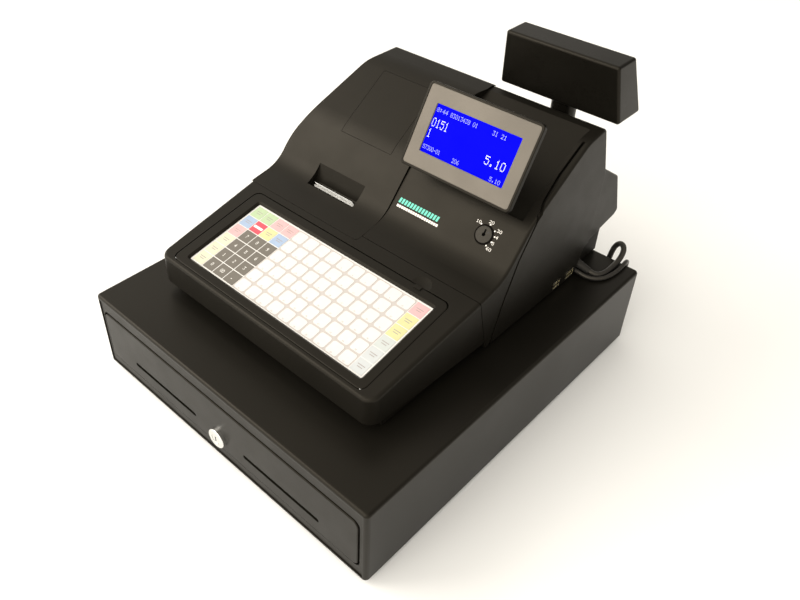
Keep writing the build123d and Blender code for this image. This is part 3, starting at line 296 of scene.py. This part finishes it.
def lit_screen(name):
    """The blue backlit screen, with its grid of cells and a slightly uneven backlight."""
    s = Shader(name).set(Specular_IOR_Level=0.02, Emission_Strength=1.0)
    cell = s.node("ShaderNodeTexVoronoi", {
        "Vector": s.place, "Scale": 2400.0, "Randomness": 0.0,
    }, distance="CHEBYCHEV").outputs["Distance"]
    edge = s.spread(cell, 0.0, 0.04, 0.35, 0.5)
    glow = s.spread(s.noise(0.05, 1.0), 0.0, 0.03)
    blue = s.mix(s.maths("ADD", edge, glow), rgb(0.0, 0.0, 1.0), rgb(0.0, 0.0, 0.62))
    s.feed(s.surface.inputs["Emission Color"], blue)
    s.colour(s.mix(glow, rgb(0.0, 0.0, 0.01), rgb(0.0, 0.0, 0.02)))
    s.roughness(s.spread(s.noise(0.02, 2.0), 0.45, 0.55))
    return s.done()


def glowing(name, colour, strength):
    """Lit characters, slightly uneven from dot to dot."""
    s = Shader(name).set(Emission_Strength=strength, Specular_IOR_Level=0.2)
    uneven = s.spread(s.noise(0.0006, 1.0), 0.88, 1.0)
    s.feed(s.surface.inputs["Emission Color"], s.mix(uneven, rgb(0, 0, 0), colour))
    s.colour(s.mix(uneven, shaded(colour, 0.4), shaded(colour, 0.5)))
    return s.roughness(s.spread(s.noise(0.003), 0.3, 0.4)).done()


def printed(name, colour, rough=0.38, edge=0.0):
    """Ink printed on film, a little uneven, with the film's own texture."""
    s = Shader(name).set(Specular_IOR_Level=0.4)
    uneven = s.noise(0.006, 3.0)
    fine = s.noise(0.0004, 2.0)
    s.colour(s.mix(s.spread(uneven, 0.0, 1.0), shaded(colour, 0.965), shaded(colour, 1.02)))
    s.roughness(s.spread(fine, rough - 0.05, rough + 0.05))
    if edge:
        s.rounded(edge)
    return s.bump(fine, 0.00001, 0.4).done()


def smoked_window(name):
    s = Shader(name).set(Specular_IOR_Level=0.6, Coat_Weight=0.5, Coat_Roughness=0.05)
    clouds = s.noise(0.03, 2.0)
    s.colour(s.mix(s.spread(clouds, 0.0, 1.0), rgb(0.006, 0.011, 0.012), rgb(0.009, 0.016, 0.018)))
    return s.roughness(s.spread(clouds, 0.06, 0.1)).done()


def two_part(name, split, first, second, rough=(0.5, 0.25)):
    """One solid of two materials, parted at a place on X: the first colour above it, metal below it."""
    s = Shader(name).set(Specular_IOR_Level=0.4)
    along = s.node("ShaderNodeSeparateXYZ", {"Vector": s.place}).outputs[0]
    metal = s.maths("LESS_THAN", along, split)
    fine = s.noise(0.0006, 3.0)
    s.colour(s.mix(metal, s.mix(s.spread(fine, 0, 1), shaded(first, 0.85), shaded(first, 1.15)), second))
    s.feed(s.surface.inputs["Metallic"], metal)
    turned = s.maths("MULTIPLY", metal, rough[1] - rough[0])
    s.roughness(s.maths("ADD", s.maths("ADD", turned, rough[0]), s.spread(fine, -0.04, 0.04)))
    return s.rounded(0.0004).bump(fine, 0.00002, 0.4).done()


BLACK = (0.0062, 0.0055, 0.0042)
CORD_R = 0.0032
CABLE_R = 0.0025
ROLL_AXIS = at(-71.0, 330.0, 172.0)
TRANSFORMER_SPLIT = at(-141.0, 0, 0)[0]    # core below it, winding above it
PLUG_SPLIT = at(-29.1, 0, 0)[0]            # pins below it, body above it

LOOK = {
    "powder": powder_coat("powder_coat_black", BLACK, 0.34),
    "case": moulded("case_plastic", BLACK, 0.40),
    "cover": moulded("cover_plastic", shaded(BLACK, 1.06), 0.40),
    "front": moulded("drawer_front_plastic", shaded(BLACK, 1.1), 0.36),
    "gloss_case": moulded("display_plastic", shaded(BLACK, 0.9), 0.30, depth=0.00002),
    "frame": moulded("frame_plastic", BLACK, 0.38),
    "base": moulded("base_plastic", shaded(BLACK, 0.7), 0.5, specular=0.15),
    "till": moulded("till_plastic", shaded(BLACK, 3.5), 0.38, 0.0008),
    "inner": moulded("inner_plastic", shaded(BLACK, 3.0), 0.5),
    "bezel": moulded("bezel_plastic", (0.150, 0.134, 0.114), 0.46, 0.0004, 0.00004, edge=0.0006),
    "lock": moulded("lock_plastic", (0.024, 0.0225, 0.020), 0.34, 0.0003, 0.00001),
    "ring": moulded("ring_plastic", shaded(BLACK, 0.3), 0.6, specular=0.05),
    "gear": moulded("gear_plastic", (0.70, 0.70, 0.66), 0.42, 0.0006, 0.00001),
    "tear": moulded("tear_bar_plastic", (0.85, 0.84, 0.81), 0.4, 0.0006, 0.00001),
    "zinc": zinc_sheet("zinc_sheet"),
    "steel": turned_metal("turned_steel", (0.50, 0.50, 0.50)),
    "aluminium": turned_metal("aluminium", (0.66, 0.67, 0.68), 0.34),
    "chrome": plated("chrome_plate"),
    "port": plated("port_shells", (0.62, 0.58, 0.46), 0.22),
    "screw": plated("screw_plate", (0.10, 0.10, 0.10), 0.3),
    "rubber": rubbery("foot_rubber", (0.014, 0.014, 0.014)),
    "mat": rubbery("key_mat_rubber", (0.16, 0.165, 0.165), 0.55),
    "roller": rubbery("platen_rubber", (0.018, 0.018, 0.018), 0.5),
    "cord": rubbery("cord_sheath", (0.013, 0.0125, 0.012), 0.42, 0.5),
    "board": circuit_board("circuit_board"),
    "paper": sheet_paper("thermal_paper"),
    "roll": wound_paper("wound_paper", ROLL_AXIS),
    "screen": lit_screen("lit_screen"),
    "window": smoked_window("smoked_window"),
    "copper": two_part("transformer", TRANSFORMER_SPLIT, (0.30, 0.13, 0.04), rgb(0.30, 0.30, 0.31)),
    "plug": two_part("plug_body", PLUG_SPLIT, (0.014, 0.0135, 0.013), rgb(0.60, 0.55, 0.42), (0.45, 0.2)),
}

NODE_LOOK = {
    "powder": "cabinet_shell",
    "front": "front_frame drawer_front",
    "zinc": "cabinet_bottom cabinet_rails drawer_tray printer_frame latch_lever release_solenoid push_spring",
    "case": "keyboard_case main_case rear_hood post_collar",
    "cover": "printer_cover cover_inset",
    "gloss_case": "customer_post customer_housing",
    "frame": "keyboard_frame display_shell",
    "ring": "mode_lock_bezel",
    "base": "base_pan paper_bucket display_bracket",
    "till": "till_insert",
    "inner": "note_clip_1 note_clip_2 note_clip_3 note_clip_4",
    "bezel": "display_bezel",
    "lock": "mode_lock_plug",
    "gear": "motor_pinion",
    "tear": "tear_bar",
    "steel": "clip_rod keyboard_pins cover_hinge_pins printer_motor",
    "aluminium": "print_head",
    "chrome": "drawer_lock_housing drawer_lock_plug",
    "port": "port_connectors",
    "screw": "case_screws",
    "rubber": "drawer_feet register_feet cable_gland mains_relief",
    "mat": "key_mat",
    "roller": "platen_roller",
    "cord": "mains_cord mains_coil drawer_cable",
    "board": "keyboard_board main_board",
    "paper": "receipt_strip key_sheet",
    "roll": "paper_roll",
    "screen": "display_screen",
    "window": "customer_window",
    "copper": "power_transformer",
    "plug": "mains_plug",
}


def dress_nodes():
    for look, names in NODE_LOOK.items():
        for name in names.split():
            slots = nodes[name].data.materials
            slots.clear()
            slots.append(LOOK[look])


# ---- mesh helpers ----

PRINT_LIFT = 0.06    # how far printing laid on a surface stands off it, in mm


class Sheet:
    """Builds one mesh from flat patches drawn in a plane, with a material for each patch."""

    def __init__(self, name, plane, looks):
        self.name = name
        self.plane = plane
        self.looks = list(looks)
        self.mesh = bmesh.new()

    def patch(self, points, look, low=0.0, high=None):
        """A flat patch at height low, or a slab from low to high, of an outline of (across, up) in mm."""
        top = low if high is None else high
        upper = [self.mesh.verts.new((x * MM, y * MM, top * MM)) for x, y in points]
        index = self.looks.index(look)
        self.mesh.faces.new(upper).material_index = index
        if high is not None:
            lower = [self.mesh.verts.new((x * MM, y * MM, low * MM)) for x, y in points]
            for i, vertex in enumerate(upper):
                j = (i + 1) % len(upper)
                self.mesh.faces.new((vertex, lower[i], lower[j], upper[j])).material_index = index

    def finished(self, body, onto=None):
        """Adds the mesh to the scene on a body; onto is a CAD node whose surface it is laid on."""
        data = bpy.data.meshes.new(self.name)
        bmesh.ops.recalc_face_normals(self.mesh, faces=self.mesh.faces)
        self.mesh.to_mesh(data)
        self.mesh.free()
        for look in self.looks:
            data.materials.append(look)
        data.transform(self.plane)
        if onto:
            lay_on(data, onto, self.plane.to_3x3().col[2], PRINT_LIFT * MM)
        made = bpy.data.objects.new(self.name, data)
        bpy.context.scene.collection.objects.link(made)
        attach(made, body)
        return made


def lay_on(data, node, out, lift):
    """Moves a mesh's points along the plane's normal onto a CAD node's surface."""
    source = nodes[node].data
    tree = BVHTree.FromPolygons([v.co for v in source.vertices], [p.vertices for p in source.polygons])
    for vertex in data.vertices:
        hit = tree.ray_cast(vertex.co + out * 0.02, -out)[0]
        if hit is not None:
            vertex.co = hit + out * lift


def rectangle(x0, y0, x1, y1):
    return [(x0, y0), (x1, y0), (x1, y1), (x0, y1)]


def rounded_rectangle(x0, y0, x1, y1, radius, steps=5):
    points = []
    for cx, cy, start in ((x1 - radius, y0 + radius, -90), (x1 - radius, y1 - radius, 0),
                          (x0 + radius, y1 - radius, 90), (x0 + radius, y0 + radius, 180)):
        for i in range(steps + 1):
            a = math.radians(start + 90 * i / steps)
            points.append((cx + radius * math.cos(a), cy + radius * math.sin(a)))
    return points


def disc(x, y, radius, steps=16):
    return [(x + radius * math.cos(2 * math.pi * i / steps), y + radius * math.sin(2 * math.pi * i / steps))
            for i in range(steps)]


# Digits on a grid five dots wide and seven dots high, top row first.
DIGITS = {
    "0": ".###. #...# #...# #...# #...# #...# .###.",
    "1": "..#.. .##.. ..#.. ..#.. ..#.. ..#.. .###.",
    "2": ".###. #...# ....# ...#. ..#.. .#... #####",
    "3": "##### ...#. ..#.. ...#. ....# #...# .###.",
    "4": "...#. ..##. .#.#. #..#. ##### ...#. ...#.",
    "5": "##### #.... ####. ....# ....# #...# .###.",
    "6": "..##. .#... #.... ####. #...# #...# .###.",
    "7": "##### ....# ...#. ..#.. .#... .#... .#...",
    "8": ".###. #...# #...# .###. #...# #...# .###.",
    "9": ".###. #...# #...# .#### ....# ...#. .##..",
    ".": "..... ..... ..... ..... ..... .##.. .##..",
    ":": "..... .##.. .##.. ..... .##.. .##.. .....",
    "-": "..... ..... ..... ##### ..... ..... .....",
    " ": "..... ..... ..... ..... ..... ..... .....",
}


def digits(sheet, text, x, y, dot_x, dot_y, look, low, gap=0.0):
    """Writes digits from a top left corner (x, y), as dots or, with no gap, as solid strokes."""
    for place, character in enumerate(text):
        left = x + place * 6 * dot_x
        for row, line in enumerate(DIGITS[character].split()):
            top = y - row * dot_y
            start = None
            for column, mark in enumerate(line + "."):
                if gap and mark == "#":
                    x0 = left + column * dot_x
                    sheet.patch(rectangle(x0, top - dot_y + gap, x0 + dot_x - gap, top), look, low)
                elif not gap and mark == "#" and start is None:
                    start = column
                elif not gap and mark != "#" and start is not None:
                    x0, x1 = left + start * dot_x, left + column * dot_x
                    sheet.patch(rectangle(x0, top - dot_y, x1, top), look, low)
                    start = None


# ---- cords ----

# Mains cord: out of its relief, back over the cabinet's top, round in a loop and down behind the cabinet.
MAINS_ROUTE = [
    (167.5, 406.0, 104.5), (174.4, 406.7, 102.55), (179.2, 414.6, 101.7), (180.8, 426.0, 101.7),
    (181.0, 438.0, 102.2), (181.2, 448.0, 104.4), (180.4, 457.0, 110.0), (176.6, 463.0, 113.4),
    (170.6, 466.6, 113.0),
    (165.4, 466.6, 107.0), (163.6, 464.6, 98.0), (162.6, 462.4, 84.0), (160.0, 462.0, 63.0),
    (151.5, 464.5, 39.0),
    (139.0, 470.5, 17.0), (121.5, 479.5, 1.5), (102.0, 480.5, -3.6), (82.0, 474.0, -3.7),
]
# Drawer cable: out of the register's right side, back over the cabinet's top and down into its gland.
CABLE_ROUTE = [
    (148.0, 396.5, 104.4), (157.0, 396.5, 104.4), (167.5, 397.6, 101.6), (177.6, 402.2, 101.0),
    (184.6, 411.4, 101.0),
    (187.4, 423.0, 101.0), (188.6, 437.0, 101.2), (187.8, 450.0, 102.4), (186.0, 461.0, 98.5),
    (184.2, 464.0, 85.0), (181.6, 463.2, 67.0), (177.0, 464.0, 49.0), (170.4, 468.0, 34.0),
    (165.0, 468.4, 24.0), (165.0, 457.0, 24.0),
]
COIL_X, COIL_Y, COIL_R = 62.0, 512.0, 38.0
COIL_LOW = -3.7        # centreline of the turns that lie on the table
TURN_POINTS = 16
SHIFT_POINTS = 4       # points over which one turn passes into the next
TAIL_POINTS = 6        # points that the last turn leaves to the tail


def coil_points():
    """Six turns wound clockwise, three on three; the last one stops where the tail leaves."""
    step = 2 * CORD_R / MM
    low, high = COIL_LOW, COIL_LOW + step - 0.1
    swell = 1 / math.cos(math.pi / TURN_POINTS)
    rings = [(COIL_R + step, low), (COIL_R, low), (COIL_R - step, low),
             (COIL_R - step, high), (COIL_R, high), (COIL_R + step, high)]
    points = []
    for turn, (radius, z) in enumerate(rings):
        onward = rings[min(turn + 1, len(rings) - 1)]
        last = turn == len(rings) - 1
        for i in range(TURN_POINTS - (TAIL_POINTS if last else 0)):
            share = 0.0 if last else max(0.0, (i - TURN_POINTS + SHIFT_POINTS) / SHIFT_POINTS)
            r = (radius + (onward[0] - radius) * share) * swell
            a = math.radians(-90) - 2 * math.pi * i / TURN_POINTS
            points.append((COIL_X + r * math.cos(a), COIL_Y + r * math.sin(a), z + (onward[1] - z) * share))
    return points


# The tail leaves the top turn, crosses the coil and runs into the plug's sleeve.
TAIL_ROUTE = [
    (92.0, 548.5, 5.6), (98.5, 537.5, 8.6), (99.0, 524.0, 10.4), (91.5, 510.5, 10.9), (78.0, 503.0, 10.6),
    (62.0, 502.0, 10.4), (46.0, 505.5, 10.8), (33.0, 510.6, 11.7), (24.0, 512.0, 12.0), (14.0, 512.0, 12.0),
]


def cord_curve(name, points, radius):
    data = bpy.data.curves.new(name, "CURVE")
    data.dimensions = "3D"
    data.bevel_depth = radius
    data.bevel_resolution = 6
    data.resolution_u = 10
    data.use_fill_caps = True
    spline = data.splines.new("NURBS")
    spline.points.add(len(points) - 1)
    for place, point in zip(spline.points, points):
        place.co = (*at(*point), 1.0)
    spline.order_u = 3
    spline.use_endpoint_u = True
    made = bpy.data.objects.new(name, data)
    bpy.context.scene.collection.objects.link(made)
    data.materials.append(LOOK["cord"])
    return made


def make_cords():
    lead = cord_curve("mains_lead", MAINS_ROUTE + coil_points() + TAIL_ROUTE, CORD_R)
    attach(lead, "register")
    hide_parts("mains_cord", "mains_coil")
    link = cord_curve("drawer_link", CABLE_ROUTE, CABLE_R)
    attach(link, "register")
    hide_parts("drawer_cable")


# ---- keyboard film ----

COLUMNS, ROWS = 15, 6
PITCH = 16.58
KEYS_MID = (1.85, -0.55)
FILM_BOTTOM, FILM_TOP = -3.55, -3.05
FILM_HALF = (126.15 + 5, 51.3 + 5)    # the seen field and the margin under the frame
KEY_RISE = 0.22
INK_RISE = 0.01
KEY_COLOURS = {
    "g": (0.43, 0.54, 0.33), "b": (0.34, 0.43, 0.58), "p": (0.66, 0.40, 0.40), "r": (0.58, 0.08, 0.11),
    "y": (0.62, 0.59, 0.30), "k": (0.63, 0.61, 0.46), "m": (0.52, 0.55, 0.53), "n": (0.54, 0.56, 0.56),
    "d": (0.150, 0.134, 0.112), "w": (0.68, 0.66, 0.64),
}
# One letter a key, from the back row to the front row: w is a plain white key and d a dark number key.
KEY_ROWS = ("ggppwwwwwwwwwwp", "brybwwwwwwwwwwy", "pdddwwwwwwwwwwy",
            "kdddwwwwwwwwwwm", "kdddwwwwwwwwwwn", "kdddwwwwwwwwwwn")
KEY_NUMBERS = {(2, 1): "7", (2, 2): "8", (2, 3): "9", (3, 1): "4", (3, 2): "5", (3, 3): "6",
               (4, 1): "1", (4, 2): "2", (4, 3): "3", (5, 1): "0", (5, 2): "00", (5, 3): "."}


def make_key_film():
    looks = {name: printed(f"key_ink_{name}", colour, edge=0.00025) for name, colour in KEY_COLOURS.items()}
    film = printed("key_film", (0.72, 0.70, 0.67))
    # Painted shade: a grey film laid under the white keys, so that the gaps between them look shaded.
    line = printed("key_gap_shade", (0.50, 0.46, 0.43))
    white_ink = printed("white_ink", (0.88, 0.86, 0.82))
    grey_ink = printed("grey_ink", (0.34, 0.30, 0.28))
    sheet = Sheet("key_film", KEYBOARD, [film, line, white_ink, grey_ink, *looks.values()])
    mid_x, mid_y = KEYS_MID
    half_x, half_y = FILM_HALF
    whole = rectangle(mid_x - half_x, mid_y - half_y, mid_x + half_x, mid_y + half_y)
    sheet.patch(whole, film, FILM_BOTTOM, FILM_TOP)
    left, top = mid_x - COLUMNS * PITCH / 2, mid_y + ROWS * PITCH / 2
    # The grey field under the white keys is painted shade, showing in the gaps between them.
    white_field = rectangle(left + 4 * PITCH, top - ROWS * PITCH, left + 14 * PITCH, top)
    sheet.patch(white_field, line, FILM_TOP + 0.012)
    rise = FILM_TOP + KEY_RISE
    print_height = rise + INK_RISE
    number = 0
    for row, colours in enumerate(KEY_ROWS):
        for column, colour in enumerate(colours):
            x0, y1 = left + column * PITCH, top - row * PITCH
            x1, y0 = x0 + PITCH, y1 - PITCH
            cx, cy = (x0 + x1) / 2, (y0 + y1) / 2
            if colour == "w":
                number += 1
                key = rounded_rectangle(x0 + 1.15, y0 + 1.15, x1 - 1.15, y1 - 1.15, 2.6)
                sheet.patch(key, looks["w"], FILM_TOP, rise)
                text = str(number)
                digits(sheet, text, cx - len(text) * 0.66, y0 + 3.6, 0.22, 0.24, grey_ink, print_height)
            elif colour == "d":
                sheet.patch(rectangle(x0 + 0.6, y0 + 0.6, x1 - 0.6, y1 - 0.6), looks["d"], FILM_TOP, rise)
                text = KEY_NUMBERS[row, column]
                digits(sheet, text, cx - len(text) * 1.35 + 0.2, cy + 2.1, 0.46, 0.6, white_ink, print_height)
            else:
                key = rectangle(x0 + 0.55, y0 + 0.55, x1 - 0.55, y1 - 0.55)
                sheet.patch(key, looks[colour], FILM_TOP, rise)
                legend_bars(sheet, cx, cy, colour, white_ink if colour == "r" else grey_ink, print_height)
    made = sheet.finished("register")
    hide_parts("key_sheet")


def legend_bars(sheet, cx, cy, colour, ink, low):
    """Plain bars where a function key has its legend."""
    if colour == "r":
        sheet.patch(rectangle(cx - 6.6, cy - 1.6, cx + 6.6, cy + 1.6), ink, low)
        return
    for up, reach in ((1.3, 4.4), (-1.3, 3.1)):
        sheet.patch(rectangle(cx - reach, cy + up - 0.42, cx + reach, cy + up + 0.42), ink, low)


# ---- screens and marks ----

SCREEN_WIDTH, SCREEN_DOTS = 101.3, 240
MARK_RING_R, MARK_R = 11.6, 0.85      # the dots round the mode lock
LOCK_INDEX = [(2.9, 3.9), (3.6, 2.3), (5.0, 4.3)]


def make_screen_digits():
    ink = glowing("screen_white", rgb(0.78, 0.80, 1.0), 1.0)
    faint = glowing("screen_pale", rgb(0.36, 0.38, 1.0), 1.0)
    sheet = Sheet("screen_digits", SCREEN, [ink, faint])
    dot = SCREEN_WIDTH / SCREEN_DOTS
    left, top, low = -SCREEN_WIDTH / 2, 25.0, -1.98

    def write(text, column, row, wide, tall, look):
        gap = 0.32 if look is ink else 0.1
        digits(sheet, text, left + column * dot, top - row * dot, dot * wide, dot * tall, look, low, gap)

    write("8:44", 3, 9, 1.38, 1.5, faint)
    write("83013438 01", 43, 9, 1.2, 1.5, faint)
    write("31 21", 163, 9, 1.32, 1.5, faint)
    write("0151", 3, 34, 2.06, 3.1, ink)
    write("1", 1.5, 61, 2.06, 3.1, ink)
    write("5.10", 171, 65, 2.42, 3.0, ink)
    write("57300-01", 3, 100, 1.1, 1.5, faint)
    write("206", 92, 103, 1.18, 1.5, faint)
    write("5.10", 200, 105, 1.27, 1.5, faint)
    sheet.finished("operator_display")


def make_customer_digits():
    ink = glowing("customer_teal", rgb(0.10, 0.85, 0.62), 0.8)
    plane = customer_plane()
    sheet = Sheet("customer_digits", plane, [ink])
    digits(sheet, "5.10", -6.0, 8.4, 2.0, 2.4, ink, -0.36, 0.25)
    sheet.finished("customer_display")


def customer_plane():
    """The middle of the customer display's back, facing the customer."""
    tilt = math.atan2(20.7, 63.0)
    across = Vector((-1, 0, 0))
    out = Vector((0, math.cos(tilt), math.sin(tilt)))
    made = Matrix((across, out.cross(across), out)).transposed().to_4x4()
    made.translation = at(91.9, 435.65, 319.3)
    return made


def make_panel_marks():
    """Numbers and dots round the mode lock, and a plain two-colour stripe in place of a name."""
    white = printed("panel_white", (0.80, 0.76, 0.70))
    teal = printed("panel_teal", (0.10, 0.56, 0.42))
    sheet = Sheet("panel_marks", PANEL, [white, teal])
    dots = ((-7.0, 7.3), (1.3, 10.1), (8.1, 7.1), (10.6, 2.4), (10.2, -3.2), (6.8, -7.9))
    marks = (("10", -11.7, 9.6), ("20", 1.4, 14.1), ("30", 13.4, 9.3), ("4", 13.9, 2.9), ("5", 12.9, -4.1),
             ("60", 11.8, -10.8))
    for (x, y), (text, mx, my) in zip(dots, marks):
        away = MARK_RING_R / math.hypot(x, y)
        sheet.patch(disc(x * away, y * away, MARK_R, 12), white, 0.0)
        digits(sheet, text, mx - len(text) * 1.5 + 0.3, my + 1.6, 0.5, 0.46, white, 0.0)
    for i in range(14):
        x = -106.4 + i * 3.86
        sheet.patch([(x, -10.4), (x + 2.6, -10.4), (x + 3.4, -4.8), (x + 0.8, -4.8)], teal, 0.0)
    for i in range(18):
        x = -106.2 + i * 3.1
        sheet.patch(rectangle(x, -15.2, x + 2.5, -12.4), white, 0.0)
    sheet.finished("register", onto="main_case")
    dark = printed("index_black", (0.002, 0.002, 0.002))
    index = Sheet("lock_index", PANEL, [dark])
    index.patch(LOCK_INDEX, dark, 1.25)
    index.finished("mode_lock")


# ---- stage ----

SOFTBOX_COLOUR = (1.0, 0.96, 0.89)
SOFTBOX_AIM = (0.0, 0.0, 0.1)
SKY_COLOUR = rgb(1.0, 0.955, 0.875)
SKY_BRIGHT_SIDE = (-0.45, -0.88, -0.1)


def make_stage():
    mesh = bpy.data.meshes.new("floor")
    far = 30.0
    corners = [(-far, -far, 0), (far, -far, 0), (far, far, 0), (-far, far, 0)]
    mesh.from_pydata(corners, [], [(0, 1, 2, 3)])
    floor = bpy.data.objects.new("floor", mesh)
    bpy.context.scene.collection.objects.link(floor)
    s = Shader("floor_paper").set(Specular_IOR_Level=0.1)
    s.colour(s.mix(s.spread(s.noise(0.5, 2.0), 0.0, 1.0), rgb(0.90, 0.90, 0.89), rgb(0.93, 0.93, 0.92)))
    s.roughness(s.spread(s.noise(0.01, 2.0), 0.8, 0.9))
    mesh.materials.append(s.done())


def softbox(name, place, size, power):
    data = bpy.data.lights.new(name, "AREA")
    data.shape = "RECTANGLE"
    data.size = data.size_y = size
    data.energy = power
    data.color = SOFTBOX_COLOUR
    light = bpy.data.objects.new(name, data)
    bpy.context.scene.collection.objects.link(light)
    light.location = place
    light.rotation_mode = "QUATERNION"
    light.rotation_quaternion = (Vector(SOFTBOX_AIM) - Vector(place)).to_track_quat("-Z", "Y")


def make_light():
    scene = bpy.context.scene
    scene.view_settings.view_transform = "Standard"
    world = bpy.data.worlds.new("studio")
    scene.world = world
    world.use_nodes = True
    sky = world.node_tree.nodes
    links = world.node_tree.links
    where = sky.new("ShaderNodeTexCoord")
    facing = sky.new("ShaderNodeVectorMath")
    facing.operation = "DOT_PRODUCT"
    facing.inputs[1].default_value = SKY_BRIGHT_SIDE
    strength = sky.new("ShaderNodeMapRange")
    strength.inputs["From Min"].default_value = -1.0
    strength.inputs["To Min"].default_value = 0.22
    strength.inputs["To Max"].default_value = 2.2
    links.new(where.outputs["Generated"], facing.inputs[0])
    links.new(facing.outputs["Value"], strength.inputs["Value"])
    links.new(strength.outputs[0], sky["Background"].inputs["Strength"])
    sky["Background"].inputs["Color"].default_value = SKY_COLOUR
    softbox("key_softbox", (-1.5, -1.3, 1.6), 1.4, 30.0)
    softbox("front_softbox", (0.2, -2.3, 1.5), 1.6, 20.0)


make_camera()
dress_nodes()
make_cords()
make_key_film()
make_screen_digits()
make_customer_digits()
make_panel_marks()
make_stage()
make_light()
